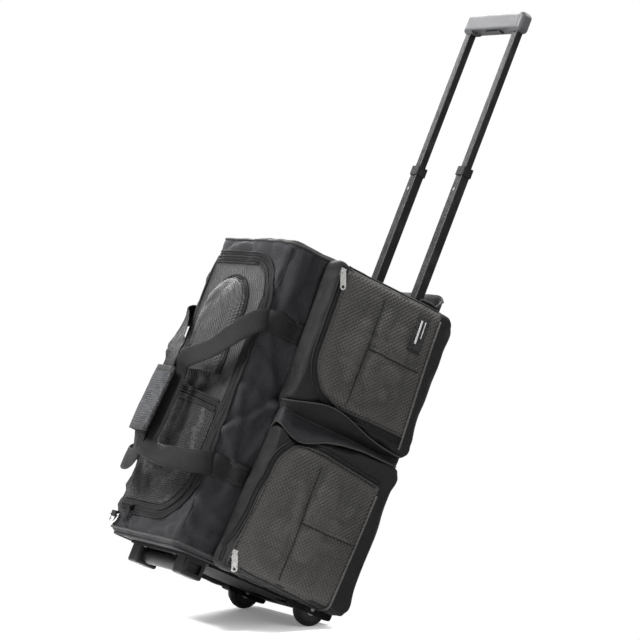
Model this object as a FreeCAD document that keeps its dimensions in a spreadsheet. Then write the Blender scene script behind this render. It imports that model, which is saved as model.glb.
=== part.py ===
"""Wheeled duffel bag with a two-stage pull handle, standing upright on its wheels and foot.

Frame: +Z up along the bag's length, the wheels' axle along X, the zipped lid towards -Y and the pull
handle towards +Y. "near" is the +X side and "far" the -X side. Millimetres.
"""

import FreeCAD, Part

import os
import re

import Sketcher

doc = FreeCAD.newDocument("WheeledDuffel")
sheet = doc.addObject("Spreadsheet::Sheet", "dims")

DIMENSIONS = {
    "frame_shift": 35,  # moves every piece along Y, so the row's origin is under the middle
    # main compartment
    "body_width": 250,
    "body_length": 550,
    "front_reach": 174,
    "back_reach": 172,
    "base_height": 35,
    "corner_radius": 14,
    "skin": 3,
    # lid and its zip
    "lid_left": 104,
    "lid_right": 100,
    "lid_low": 88,
    "lid_high": 540,
    "lid_thick": 4,
    "lid_gap": 0.5,
    "zip_width": 12,
    "zip_thick": 1.5,
    "pouch_reach": 18,
    "pouch_low": 332,
    "pouch_high": 506,
    "pouch_half": 58,
    "mesh_reach": 8,
    "mesh_low": 96,
    "mesh_high": 300,
    # side pockets
    "pocket_depth": 38,
    "pocket_front": 92,
    "pocket_back": 176,
    "pocket_radius": 10,
    "upper_pocket_low": 318,
    "upper_pocket_high": 583,
    "lower_pocket_low": 32,
    "lower_pocket_high": 300,
    "panel_front": 72,
    "panel_back": 123,
    "upper_panel_low": 353,
    "upper_panel_high": 574,
    "lower_panel_low": 42,
    "lower_panel_high": 262,
    # pull handle
    "board_half": 105,
    "bracket_half": 92,
    "bracket_deep": 14,
    "bezel_half": 90,
    "bezel_front": 103,
    "bezel_back": 134.5,
    "hood_half": 96,
    "hood_front": 118,
    "hood_wall": 4,
    "tube_half": 73.6,
    "tube_back": 122,
    "tube_wall": 1.2,
    "outer_wide": 23,
    "outer_deep": 21,
    "outer_low": 62,
    "outer_high": 591,
    "lower_wide": 19.6,
    "lower_deep": 17.6,
    "lower_low": 480,
    "lower_high": 835,
    "upper_wide": 16,
    "upper_deep": 14,
    "upper_low": 740,
    "upper_high": 1130,
    "collar_low": 829,
    "collar_high": 845,
    "grip_low": 1106,
    "grip_high": 1144,
    "grip_half": 88,
    "grip_deep": 26,
    "grip_round": 9,
    "button_half": 22,
    "button_low": 1108,
    "hood_high": 622,
    "lining_front": 104,
    # wheels and base
    "wheel_half": 112,
    "wheel_back": 118,
    "wheel_radius": 30,
    "wheel_wide": 20,
    "hub_radius": 21,
    "bearing_radius": 11,
    "bearing_wide": 5,
    "axle_radius": 4,
    "plate_low": 29,
    "plate_half": 97.5,
    "plate_back": 162,
    "slot_front": 96,
    "slot_back": 142,
    "slot_long": 44,
    "foot_half": 97,
    "foot_front": 130,
    "foot_back": 88,
    "screw_radius": 1.75,
    # webbing, rings, sliders
    "web_wide": 38,
    "web_thick": 2.5,
    "tail_front": 160,
    "tail_back": 95,
    "web_high": 441,
    "web_low": 185,
    "grip_web_low": 160,
    "grip_web_high": 360,
    "wrap_low": 200,
    "wrap_high": 318,
    "wrap_half": 29,
    "wrap_front": 246,
    "wrap_back": 222,
    "wrap_wall": 3,
    "ring_wire": 1.75,
    "ring_bend": 14,
    "post_radius": 1.5,
    "main_slider_left": 60,
    "pull_long": 33,
    "pull_wide": 11,
    "pull_eye": 2.8,
    "pull_thick": 1.6,
}
RUN = 0.06  # radial running clearance of a pin in its hole
SIDES = (("near", 1), ("far", -1))

for row, (alias, number) in enumerate(DIMENSIONS.items(), 1):
    sheet.set(f"A{row}", alias)
    sheet.set(f"B{row}", str(number))
    sheet.setAlias(f"B{row}", alias)
doc.recompute()

WORDS = re.compile(r"\b(" + "|".join(DIMENSIONS) + r")\b")
parts = []


def value(alias):
    """A driving dimension as the sheet holds it now."""
    return float(sheet.get(alias))


def bind(obj, prop, text):
    """Ties one property to an expression of the sheet's dimensions."""
    obj.setExpression(prop, WORDS.sub(r"dims.\1", str(text)))


placed_y = {}


def part(node, obj):
    """Marks a finished piece as a sub-part with its own name, and moves it to the row's frame."""
    obj.Label = node
    bind(obj, "Placement.Base.y", f"({placed_y.get(obj.Name, 0)}) + frame_shift")
    parts.append(obj)


# ---------------------------------------------------------------- primitives and booleans


def place(obj, at):
    placed_y[obj.Name] = at[1]
    for axis, text in zip("xyz", at):
        bind(obj, f"Placement.Base.{axis}", text)


def box(name, low, high):
    """Block between two corners, each coordinate an expression."""
    made = doc.addObject("Part::Box", name)
    for prop, a, b in zip(("Length", "Width", "Height"), low, high):
        bind(made, prop, f"({b}) - ({a})")
    place(made, low)
    return made


TURNS = {
    "x": FreeCAD.Rotation(FreeCAD.Vector(0, 1, 0), 90),
    "y": FreeCAD.Rotation(FreeCAD.Vector(1, 0, 0), -90),
    "z": FreeCAD.Rotation(),
}


def rod(name, axis, start, radius, length):
    """Cylinder that starts at a point and runs towards + along a row axis."""
    made = doc.addObject("Part::Cylinder", name)
    made.Placement.Rotation = TURNS[axis]
    bind(made, "Radius", radius)
    bind(made, "Height", length)
    place(made, start)
    return made


def fuse(name, shapes):
    made = doc.addObject("Part::MultiFuse", name)
    made.Shapes = shapes
    return made


def cut(name, base, tools):
    made = doc.addObject("Part::Cut", name)
    made.Base = base
    made.Tool = tools[0] if len(tools) == 1 else fuse(name + "_tools", tools)
    return made


def common(name, a, b):
    made = doc.addObject("Part::Common", name)
    made.Base = a
    made.Tool = b
    return made


def rounded(name, base, radius, wanted=lambda edge: True):
    """Fillets the edges of base that wanted() picks."""
    doc.recompute()
    made = doc.addObject("Part::Fillet", name)
    made.Base = base
    made.Edges = [
        (n, radius, radius) for n, edge in enumerate(base.Shape.Edges, 1) if wanted(edge)
    ]
    return made


def runs_along(axis):
    """Picks straight edges parallel to one row axis."""
    index = "xyz".index(axis)

    def wanted(edge):
        ends = [vertex.Point for vertex in edge.Vertexes]
        step = ends[-1] - ends[0]
        others = [abs(step[i]) for i in range(3) if i != index]
        return len(ends) == 2 and max(others) < 1e-6

    return wanted


def span(sign, inner, outer):
    """Low and high x of a piece on one side, measured out from the middle."""
    return (inner, outer) if sign > 0 else (f"-({outer})", f"-({inner})")


def side_box(name, sign, inner, outer, y_low, y_high, z_low, z_high):
    x_low, x_high = span(sign, inner, outer)
    return box(name, (x_low, y_low, z_low), (x_high, y_high, z_high))


# ---------------------------------------------------------------- sketched bodies


def rectangle(sketch, wide, deep, tag):
    """Centred rectangle whose two sizes are bound to the sheet."""
    w, d = wide[1] / 2, deep[1] / 2
    corners = [FreeCAD.Vector(x, y, 0) for x, y in ((-w, -d), (w, -d), (w, d), (-w, d))]
    first = sketch.GeometryCount
    for a, b in zip(corners, corners[1:] + corners[:1]):
        sketch.addGeometry(Part.LineSegment(a, b), False)
    for n in range(4):
        sketch.addConstraint(
            Sketcher.Constraint("Coincident", first + n, 2, first + (n + 1) % 4, 1)
        )
    for n, kind in enumerate(("Horizontal", "Vertical", "Horizontal", "Vertical")):
        sketch.addConstraint(Sketcher.Constraint(kind, first + n))
    sketch.addConstraint(Sketcher.Constraint("Symmetric", first, 1, first + 1, 2, -1, 1))
    for name, kind, line, size in (
        ("wide", "DistanceX", first, wide),
        ("deep", "DistanceY", first + 1, deep),
    ):
        index = sketch.addConstraint(Sketcher.Constraint(kind, line, 1, line, 2, size[1]))
        sketch.renameConstraint(index, tag + name)
        bind(sketch, f"Constraints.{tag}{name}", size[0])


def sketched(node, role="XY_Plane"):
    """New body with a sketch on one of its own origin planes."""
    body = doc.addObject("PartDesign::Body", node + "_body")
    sketch = body.newObject("Sketcher::SketchObject", node + "_sketch")
    plane = [p for p in body.Origin.OriginFeatures if p.Role == role][0]
    sketch.AttachmentSupport = (plane, "")
    sketch.MapMode = "FlatFace"
    return body, sketch


def tube(node, stage, x, y_centre, low, high):
    """Rounded rectangular tube of one stage, padded from a sketch of two rectangles."""
    wide, deep, wall = value(stage + "_wide"), value(stage + "_deep"), value("tube_wall")
    body, sketch = sketched(node)
    rectangle(sketch, (f"{stage}_wide", wide), (f"{stage}_deep", deep), "outer_")
    rectangle(
        sketch,
        (f"{stage}_wide - 2 * tube_wall", wide - 2 * wall),
        (f"{stage}_deep - 2 * tube_wall", deep - 2 * wall),
        "inner_",
    )
    pad = body.newObject("PartDesign::Pad", node + "_pad")
    pad.Profile = sketch
    bind(pad, "Length", f"({high}) - ({low})")
    doc.recompute()
    # the four outer long edges are rounded
    picked = [
        f"Edge{n}"
        for n, edge in enumerate(pad.Shape.Edges, 1)
        if runs_along("z")(edge) and abs(edge.Vertexes[0].X) > wide / 2 - wall / 2
    ]
    soft = body.newObject("PartDesign::Fillet", node + "_round")
    soft.Base = (pad, picked)
    soft.Radius = 2 * wall
    body.Tip = soft
    place(body, (x, y_centre, low))
    return body


# ---------------------------------------------------------------- fabric body


def fabric_shell():
    """The duffel's skin, split where its panels are sewn together."""
    half, top = "body_width / 2", "base_height + body_length"
    outer = rounded(
        "skin_outer",
        box("skin_block", (f"-({half})", "-front_reach", "base_height"), (half, "back_reach", top)),
        value("corner_radius"),
    )
    inner = rounded(
        "skin_inner",
        box(
            "skin_core",
            (f"skin - {half}", "skin - front_reach", "base_height + skin"),
            (f"{half} - skin", "back_reach - skin", f"{top} - skin"),
        ),
        value("corner_radius") - value("skin"),
    )
    shell = cut("skin_shell", outer, [inner])
    cheek = f"{half} - corner_radius"
    beyond = 400

    for side, sign in SIDES:
        zone = side_box(f"{side}_zone", sign, cheek, 200, -beyond, beyond, 0, 2 * beyond)
        whole = common(f"{side}_side_whole", shell, zone)
        part(f"{side}_side_panel", cut(f"{side}_side_cut", whole, [wheel_well(side, sign, "side")]))

    def middle(name, low, high):
        return common(name, shell, box(name + "_zone", (f"-({cheek})", *low), (cheek, *high)))

    top_panel = middle("top_whole", (-beyond, f"{top} - corner_radius"), (beyond, 2 * beyond))
    holes = [
        side_box(
            f"{side}_tube_hole", sign,
            "tube_half - outer_wide / 2 - 0.3", "tube_half + outer_wide / 2 + 0.3",
            "tube_back - outer_deep / 2 - 0.3", "tube_back + outer_deep / 2 + 0.3",
            f"{top} - 2 * corner_radius", f"{top} + 1",
        )
        for side, sign in SIDES
    ]
    holes += screw_set("top_panel_hole", BEZEL_SCREWS, f"{top} - 10", 12, "screw_radius + 0.15")
    part("top_end_panel", cut("top_cut", top_panel, holes))

    low_panel = middle("low_whole", (-beyond, 0), (beyond, "base_height + corner_radius"))
    wells = [wheel_well(side, sign, "low") for side, sign in SIDES]
    wells += screw_set("low_panel_hole", FOOT_SCREWS, 20, 30, "screw_radius + 0.15")
    part("bottom_end_panel", cut("low_cut", low_panel, wells))

    level = ("base_height + corner_radius", f"{top} - corner_radius")
    part("back_panel", middle("back_whole", (0, level[0]), (beyond, level[1])))
    front = middle("front_whole", (-beyond, level[0]), (0, level[1]))
    opening = box(
        "lid_opening",
        ("-lid_left - lid_gap", -beyond, "lid_low - lid_gap"),
        ("lid_right + lid_gap", 0, "lid_high + lid_gap"),
    )
    part("front_rim", cut("front_cut", front, [opening]))


def wheel_well(side, sign, tag):
    """Room that a fabric panel leaves for one wheel housing."""
    return side_box(
        f"{side}_well_{tag}", sign,
        "wheel_half - wheel_wide / 2 - 4.2", "body_width / 2 + 1",
        "wheel_back - wheel_radius - 10.2", "wheel_back + wheel_radius + 10.2",
        0, "2 * wheel_radius + 8.2",
    )


def lid():
    """Zipped front flap with its bulging pouch and its open mesh pocket."""
    face = "-front_reach"
    part("lid_panel", box(
        "lid_block", ("-lid_left", face, "lid_low"), ("lid_right", f"{face} + lid_thick", "lid_high")
    ))
    outward = lambda edge: edge.BoundBox.YMin < -value("front_reach") - 1
    pouch = rounded(
        "pouch_outer",
        box("pouch_block", ("-pouch_half", f"{face} - pouch_reach", "pouch_low"),
            ("pouch_half", face, "pouch_high")),
        12, outward,
    )
    hollow = rounded(
        "pouch_hollow",
        box("pouch_core", ("2 - pouch_half", f"{face} - pouch_reach + 2", "pouch_low + 2"),
            ("pouch_half - 2", f"{face} + 1", "pouch_high - 2")),
        10, outward,
    )
    part("lid_pouch", cut("pouch_cut", pouch, [hollow]))
    mesh = box(
        "mesh_block",
        ("-lid_left + 6", f"{face} - mesh_reach", "mesh_low"),
        ("lid_right - 6", face, "mesh_high"),
    )
    room = box(
        "mesh_hollow",
        ("-lid_left + 8", f"{face} - mesh_reach + 2", "mesh_low + 2"),
        ("lid_right - 8", f"{face} + 1", "mesh_high + 1"),
    )
    part("lid_mesh_pocket", cut("mesh_cut", mesh, [room]))

    reach = ("-front_reach - zip_thick", "-front_reach")
    right = ("lid_right + 2 * lid_gap", "lid_right + 2 * lid_gap + zip_width")
    low = ("lid_low - 2 * lid_gap - zip_width", "lid_low - 2 * lid_gap")
    high = ("lid_high + 2 * lid_gap", "lid_high + 2 * lid_gap + zip_width")
    part("main_zip", fuse("zip_run", [
        box("zip_top", ("-lid_left", reach[0], high[0]), (right[1], reach[1], high[1])),
        box("zip_side", (right[0], reach[0], low[0]), (right[1], reach[1], high[1])),
        box("zip_low", ("-lid_left", reach[0], low[0]), (right[1], reach[1], low[1])),
    ]))


def side_pocket(side, sign, level):
    """Boxed pocket with a wide border and, in its window, the lighter front panel."""
    name = f"{side}_{level}"
    inner, outer = "body_width / 2", "body_width / 2 + pocket_depth"
    low, high = f"{level}_pocket_low", f"{level}_pocket_high"
    face = value("body_width") / 2 + value("pocket_depth")
    block = rounded(
        f"{name}_block",
        side_box(f"{name}_solid", sign, inner, outer, "-pocket_front", "pocket_back", low, high),
        value("pocket_radius"),
        lambda edge: max(abs(edge.BoundBox.XMin), abs(edge.BoundBox.XMax)) > face - 1e-6,
    )
    hollow = side_box(
        f"{name}_hollow", sign, f"{inner} - 1", f"{outer} - skin",
        "skin - pocket_front", "pocket_back - skin", f"{low} + skin", f"{high} - skin",
    )
    window = (
        "-panel_front", "panel_back", f"{level}_panel_low", f"{level}_panel_high",
    )
    hole = side_box(f"{name}_window", sign, f"{outer} - 2 * skin", f"{outer} + 1", *window)
    part(f"{name}_pocket", cut(f"{name}_tray", block, [hollow, hole]))
    part(
        f"{name}_pocket_panel",
        side_box(f"{name}_sheet", sign, f"{outer} - skin", outer, *window),
    )


def blank_label():
    """Plain woven label on the near upper pocket."""
    face = "body_width / 2 + pocket_depth"
    part("blank_label", box("label_block", (face, 84, 493), (f"{face} + 0.8", 110, 559)))


# ---------------------------------------------------------------- inside the bag


def lining_and_board():
    half = "body_width / 2 - skin - 0.2"
    sheet_top = "base_height + body_length - skin - 0.2"
    block = box(
        "lining_sheet",
        (f"-({half})", "lining_front", "2 * wheel_radius + 9"), (half, "lining_front + 3", sheet_top),
    )
    part("handle_lining", rounded(
        "lining_round", block, value("corner_radius"),
        lambda edge: runs_along("y")(edge) and edge.BoundBox.ZMin > value("body_length") / 2,
    ))
    part("back_board", box(
        "board_sheet",
        ("-board_half", "back_reach - skin - 5", "base_height + skin + 12"),
        ("board_half", "back_reach - skin", "base_height + body_length - skin - 12"),
    ))


# ---------------------------------------------------------------- pull handle


def pull_handle():
    stages = (
        ("outer", "outer_low", "outer_high"),
        ("lower", "lower_low", "lower_high"),
        ("upper", "upper_low", "upper_high"),
    )
    for stage, low, high in stages:
        pair = [
            tube(f"{side}_{stage}", stage, f"{sign} * tube_half", "tube_back", low, high)
            for side, sign in SIDES
        ]
        both = fuse(f"{stage}_pair", pair)
        if stage == "lower":
            both = cut("lower_pair_drilled", both, lock_pins("hole", 0.1))
        part(f"{stage}_tubes", both)
    part("lock_pins", fuse("lock_pin_pair", lock_pins("pin", 0)))
    collars()
    foot_bracket()
    bezel()
    hood()
    grip()


def lock_pins(tag, extra):
    """Round catch in the front wall of each lower tube, or the hole that it sits in."""
    return [
        rod(
            f"{side}_lock_{tag}", "y",
            (f"{sign} * tube_half", "tube_back - lower_deep / 2 + 0.1 - 10 * " + str(extra), 802),
            f"3 + {extra}", f"tube_wall - 0.1 + 20 * {extra}",
        )
        for side, sign in SIDES
    ]


def tube_room(name, sign, stage, low, high, gap):
    """Space of one stage's tube, grown by gap."""
    return side_box(
        name, sign,
        f"tube_half - {stage}_wide / 2 - {gap}", f"tube_half + {stage}_wide / 2 + {gap}",
        f"tube_back - {stage}_deep / 2 - {gap}", f"tube_back + {stage}_deep / 2 + {gap}",
        low, high,
    )


def collars():
    made = []
    for side, sign in SIDES:
        block = rounded(
            f"{side}_collar_round",
            tube_room(f"{side}_collar_block", sign, "outer", "collar_low", "collar_high", 0),
            2.5, runs_along("z"),
        )
        made.append(cut(f"{side}_collar", block, [
            tube_room(f"{side}_collar_seat", sign, "lower", "collar_low - 1", "lower_high", 0),
            tube_room(f"{side}_collar_bore", sign, "upper", "lower_high - 1", "collar_high + 1", 0.3),
        ]))
    part("tube_collars", fuse("collar_pair", made))


def foot_bracket():
    """Plastic block inside the bottom that both outer tubes stand in."""
    block = box(
        "bracket_block",
        ("-bracket_half", "tube_back - bracket_deep", "base_height + skin + 0.2"),
        ("bracket_half", "tube_back + bracket_deep", "outer_low + 12"),
    )
    sockets = [
        tube_room(f"{side}_socket", sign, "outer", "outer_low", "outer_low + 20", 0.1)
        for side, sign in SIDES
    ]
    part("tube_bracket", cut("bracket_cut", block, sockets))


BEZEL_SCREWS = [(x, y) for x in (-50, 50) for y in (111, 129)]
FOOT_SCREWS = [(x, y) for x in (-52, 52) for y in (-128.5, -88.5)]


def screw_set(name, places, low, length, radius):
    return [
        rod(f"{name}_{n}", "z", (x, y, low), radius, length) for n, (x, y) in enumerate(places)
    ]


def bezel():
    """Moulded plate round the tubes on the top end."""
    top = "base_height + body_length"
    block = rounded(
        "bezel_round",
        box("bezel_block", ("-bezel_half", "bezel_front", top),
            ("bezel_half", "bezel_back", f"{top} + 5")),
        4, runs_along("z"),
    )
    holes = [
        tube_room(f"{side}_bezel_hole", sign, "outer", f"{top} - 1", f"{top} + 10", 0.2)
        for side, sign in SIDES
    ]
    holes += screw_set("bezel_bore", BEZEL_SCREWS, f"{top} - 1", 10, "screw_radius + 0.15")
    part("handle_bezel", cut("bezel_cut", block, holes))


def hood():
    """Stiff fabric wall round the back of the handle's well."""
    top = "base_height + body_length"
    back_corner = lambda edge: runs_along("z")(edge) and edge.BoundBox.YMin > 150
    block = rounded(
        "hood_round",
        box("hood_block", ("-hood_half", "hood_front", top), ("hood_half", "back_reach - 4", "hood_high")),
        16, back_corner,
    )
    room = rounded(
        "hood_room",
        box("hood_core", ("hood_wall - hood_half", "hood_front - 18", f"{top} - 1"),
            ("hood_half - hood_wall", "back_reach - 4 - hood_wall", "hood_high + 1")),
        12, back_corner,
    )
    part("handle_hood", cut("hood_cut", block, [room]))


def grip():
    """Moulded hand grip with a release bar let into its underside."""
    half_deep = "grip_deep / 2"
    block = rounded(
        "grip_round_block",
        box("grip_block", ("-grip_half", f"tube_back - {half_deep}", "grip_low"),
            ("grip_half", f"tube_back + {half_deep}", "grip_high")),
        value("grip_round"),
    )
    tools = [
        tube_room(f"{side}_grip_socket", sign, "upper", "grip_low - 1", "upper_high", 0.05)
        for side, sign in SIDES
    ]
    tools.append(box("grip_arch", (-58, 90, "grip_low - 1"), (58, 160, "grip_low + 5")))
    tools.append(box(
        "button_room",
        ("-button_half - 0.5", "tube_back - 6.5", "grip_low - 1"),
        ("button_half + 0.5", "tube_back + 6.5", "button_low + 12"),
    ))
    part("grip", cut("grip_cut", block, tools))
    part("release_button", rounded(
        "button_round",
        box("button_block", ("-button_half", "tube_back - 6", "button_low"),
            ("button_half", "tube_back + 6", "button_low + 7")),
        2, runs_along("z"),
    ))


# ---------------------------------------------------------------- wheels, housings and foot


def wheel(side, sign):
    """Tyre turned from a sketch, a hub with two bearing seats, and the two bearings."""
    half = value("wheel_wide") / 2
    radius, seat = value("wheel_radius"), value("hub_radius")
    shoulder = 5.0
    body, sketch = sketched(f"{side}_tyre", "XY_Plane")
    v = FreeCAD.Vector
    crown = Part.Arc(
        v(shoulder - half, radius - 0.6, 0), v(0, radius, 0), v(half - shoulder, radius - 0.6, 0)
    )
    outline = [
        Part.LineSegment(v(-half, seat, 0), v(-half, radius - shoulder, 0)),
        Part.LineSegment(v(-half, radius - shoulder, 0), v(shoulder - half, radius - 0.6, 0)),
        crown,
        Part.LineSegment(v(half - shoulder, radius - 0.6, 0), v(half, radius - shoulder, 0)),
        Part.LineSegment(v(half, radius - shoulder, 0), v(half, seat, 0)),
        Part.LineSegment(v(half, seat, 0), v(-half, seat, 0)),
    ]
    for edge in outline:
        sketch.addGeometry(edge, False)
    turned = body.newObject("PartDesign::Revolution", f"{side}_tyre_turned")
    turned.Profile = sketch
    turned.ReferenceAxis = (sketch, ["H_Axis"])
    turned.Angle = 360
    place(body, (f"{sign} * wheel_half", "wheel_back", "wheel_radius"))
    part(f"{side}_tyre", body)

    inner, outer = "wheel_half - wheel_wide / 2", "wheel_half + wheel_wide / 2"

    def disc(tag, radius_text, a, b):
        start, stop = span(sign, a, b)
        return rod(
            f"{side}_{tag}", "x", (start, "wheel_back", "wheel_radius"),
            radius_text, f"({stop}) - ({start})",
        )

    part(f"{side}_hub", cut(f"{side}_hub_cut", disc("hub_disc", "hub_radius - 0.02", inner, outer), [
        disc("hub_bore", "bearing_radius - 4", f"{inner} - 1", f"{outer} + 1"),
        disc("hub_seat_in", "bearing_radius", f"{inner} - 1", f"{inner} + bearing_wide + 0.5"),
        disc("hub_seat_out", "bearing_radius", f"{outer} - bearing_wide - 0.5", f"{outer} + 1"),
    ]))
    rings = []
    for tag, a, b in (
        ("in", f"{inner} + 0.5", f"{inner} + 0.5 + bearing_wide"),
        ("out", f"{outer} - 0.5 - bearing_wide", f"{outer} - 0.5"),
    ):
        rings.append(cut(f"{side}_bearing_{tag}", disc(f"bearing_{tag}_disc", "bearing_radius - 0.02", a, b), [
            disc(f"bearing_{tag}_bore", f"axle_radius + {RUN}", f"{a} - 1", f"{b} + 1"),
        ]))
    part(f"{side}_bearings", fuse(f"{side}_bearing_pair", rings))


def wheel_housing(side, sign):
    inner, outer = "wheel_half - wheel_wide / 2 - 4", "body_width / 2 - 0.4"
    y_low, y_high = "wheel_back - wheel_radius - 10", "wheel_back + wheel_radius + 10"
    block = rounded(
        f"{side}_housing_round",
        side_box(f"{side}_housing_block", sign, inner, outer, y_low, y_high,
                 "wheel_radius - 9", "2 * wheel_radius + 8"),
        6, lambda edge: runs_along("x")(edge),
    )
    slot = side_box(
        f"{side}_housing_slot", sign,
        "wheel_half - wheel_wide / 2 - 0.8", "wheel_half + wheel_wide / 2 + 0.8",
        "wheel_back - wheel_radius - 2", "wheel_back + wheel_radius + 2",
        0, "2 * wheel_radius + 2.5",
    )
    bore = rod(
        f"{side}_housing_bore", "x",
        (span(sign, "80", "140")[0], "wheel_back", "wheel_radius"), "axle_radius + 0.02", 60,
    )
    part(f"{side}_wheel_housing", cut(f"{side}_housing_cut", block, [slot, bore]))


def axles():
    made = []
    for side, sign in SIDES:
        start, stop = span(sign, "wheel_half - wheel_wide / 2 - 3.6", "body_width / 2 - 0.8")
        made.append(rod(
            f"{side}_axle", "x", (start, "wheel_back", "wheel_radius"),
            "axle_radius", f"({stop}) - ({start})",
        ))
    part("wheel_axles", fuse("axle_pair", made))


def base_plate():
    """Moulded plate across the bottom from the foot to the wheels, with two shallow slots."""
    block = rounded(
        "plate_round",
        box("plate_block", ("-plate_half", "5 - foot_back", "plate_low"),
            ("plate_half", "plate_back", "base_height")),
        4, runs_along("z"),
    )
    slots = [
        box(f"plate_slot_{n}", (x, "slot_front", "plate_low - 1"),
            (f"{x} + slot_long", "slot_back", "plate_low + 3"))
        for n, x in enumerate(("-22 - slot_long", "22"))
    ]
    part("base_plate", cut("plate_cut", block, slots))


def stand_foot():
    """Two moulded legs joined by a barrel that doubles as a hand hold."""
    legs, recesses = [], []
    for side, sign in SIDES:
        legs.append(rounded(
            f"{side}_leg",
            side_box(f"{side}_leg_block", sign, "foot_half - 34", "foot_half",
                     "-foot_front", "-foot_back", 0, "base_height - 5"),
            4, lambda edge: not edge.BoundBox.ZMin > 29,
        ))
        recesses.append(side_box(
            f"{side}_leg_recess", sign, "foot_half - 8", "foot_half + 1",
            "8 - foot_front", "-8 - foot_back", 8, "base_height - 10",
        ))
    barrel = rod("foot_barrel", "x", ("30 - foot_half", "-(foot_front + foot_back) / 2", 18),
                 13.5, "2 * foot_half - 60")
    flange = rounded(
        "foot_flange",
        box("flange_block", ("-foot_half - 3", "-foot_front - 4", "base_height - 5"),
            ("foot_half + 3", "4 - foot_back", "base_height")),
        4, runs_along("z"),
    )
    whole = fuse("foot_whole", [*legs, barrel, flange])
    tools = recesses + screw_set("foot_bore", FOOT_SCREWS, 20, 30, "screw_radius + 0.15")
    part("stand_foot", cut("foot_cut", whole, tools))


def screws():
    """Pan-head screws of the handle bezel and of the stand foot."""
    top = "base_height + body_length"
    made = []
    for n, (x, y) in enumerate(BEZEL_SCREWS):
        made.append(fuse(f"bezel_screw_{n}", [
            rod(f"bezel_shank_{n}", "z", (x, y, f"{top} - 9"), "screw_radius", 14),
            rod(f"bezel_head_{n}", "z", (x, y, f"{top} + 5"), 3, 1.8),
        ]))
    for n, (x, y) in enumerate(FOOT_SCREWS):
        made.append(fuse(f"foot_screw_{n}", [
            rod(f"foot_shank_{n}", "z", (x, y, "base_height - 5"), "screw_radius", 14),
            rod(f"foot_head_{n}", "z", (x, y, "base_height - 6.8"), 3, 1.8),
        ]))
    part("screws", fuse("screw_group", made))


# ---------------------------------------------------------------- webbing handles and wrap

HINGE = (127.5, 170.0)  # |x| and -y of the line where each webbing loop folds round the body's edge
GRIP_BEND = 31.0  # |x| where a loop turns to run across the middle
GRIP_TAIL = 18.0  # how far the hand part passes the middle
HAND_REACH = 25.0  # |x| of the hand part's other edge, inside the wrap
LOOP_START = 3.0  # gap from the fold line to the loose webbing


def loop_shape(sign, depth):
    """One carry loop: two legs out to the middle, joined by an upright hand part at y = -depth."""
    thick, wide = value("web_thick"), value("web_wide")
    v = FreeCAD.Vector
    root = v(sign * HINGE[0], -HINGE[1], 0)
    bend = v(sign * GRIP_BEND, -depth, 0)
    out = (bend - root).normalize()
    side = v(out.y, -out.x, 0) * sign
    reach = (bend - root).Length + thick / 2
    legs = (
        (value("web_high") - wide / 2, value("grip_web_high") - wide),
        (value("web_low") - wide / 2, value("grip_web_low")),
    )
    pieces = []
    for start_z, end_z in legs:
        corners = [
            root + out * LOOP_START + v(0, 0, start_z),
            root + out * reach + v(0, 0, end_z),
            root + out * reach + v(0, 0, end_z + wide),
            root + out * LOOP_START + v(0, 0, start_z + wide),
        ]
        face = Part.Face(Part.makePolygon(corners + corners[:1]))
        pieces.append(face.extrude(side * -thick))
    low, high = value("grip_web_low"), value("grip_web_high")
    for x_end, z_start, z_end in (
        (HAND_REACH, low, high), (GRIP_BEND, low, low + wide), (GRIP_BEND, high - wide, high)
    ):
        block = Part.makeBox(x_end + GRIP_TAIL, thick, z_end - z_start)
        start_x = -GRIP_TAIL if sign > 0 else -x_end
        block.translate(v(start_x, -depth - thick / 2, z_start))
        pieces.append(block)
    return pieces[0].fuse(pieces[1:]).removeSplitter()


def webbing():
    for (side, sign), depth in zip(SIDES, (230.5, 236.5)):
        loop = doc.addObject("Part::Feature", f"{side}_loop")
        loop.Shape = loop_shape(sign, depth)
        part(f"{side}_strap", loop)
    tails = [
        side_box(
            f"{side}_tail_{level}", sign, "body_width / 2", "body_width / 2 + web_thick",
            "-tail_front", "-tail_back", f"web_{level} - web_wide / 2", f"web_{level} + web_wide / 2",
        )
        for side, sign in SIDES
        for level in ("high", "low")
    ]
    part("strap_tails", fuse("tail_group", tails))
    block = rounded(
        "wrap_round",
        box("wrap_block", ("-wrap_half", "-wrap_front", "wrap_low"),
            ("wrap_half", "-wrap_back", "wrap_high")),
        5, lambda edge: runs_along("z")(edge) and edge.BoundBox.XMax < 0,
    )
    room = box(
        "wrap_room", ("wrap_wall - wrap_half", "wrap_wall - wrap_front", "wrap_low - 1"),
        ("wrap_half + 1", "-wrap_back - wrap_wall", "wrap_high + 1"),
    )
    mouth = box(
        "wrap_mouth", (10, "-wrap_back - wrap_wall - 1", "wrap_low - 1"),
        ("wrap_half + 1", "1 - wrap_back", "wrap_high + 1"),
    )
    part("grip_wrap", cut("wrap_cut", block, [room, mouth]))


# ---------------------------------------------------------------- rings and zip sliders


def ring(node, x, y, z, lying):
    """D-ring: a straight bar along X through its tab, and a half-round bow."""
    bow = doc.addObject("Part::Torus", f"{node}_bow")
    bind(bow, "Radius1", "ring_bend")
    bind(bow, "Radius2", "ring_wire")
    bow.Angle3 = 180
    tilt = 180 if lying else -90
    bow.Placement.Rotation = FreeCAD.Rotation(FreeCAD.Vector(1, 0, 0), tilt)
    place(bow, (x, y, z))
    bar = rod(f"{node}_bar", "x", (f"{x} - ring_bend", y, z), "ring_wire", "2 * ring_bend")
    ends = []
    for tag, sign in (("low", -1), ("high", 1)):
        ball = doc.addObject("Part::Sphere", f"{node}_{tag}")
        bind(ball, "Radius", "ring_wire")
        place(ball, (f"{x} + {sign} * ring_bend", y, z))
        ends.append(ball)
    part(node, fuse(f"{node}_whole", [bow, bar, *ends]))


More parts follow.
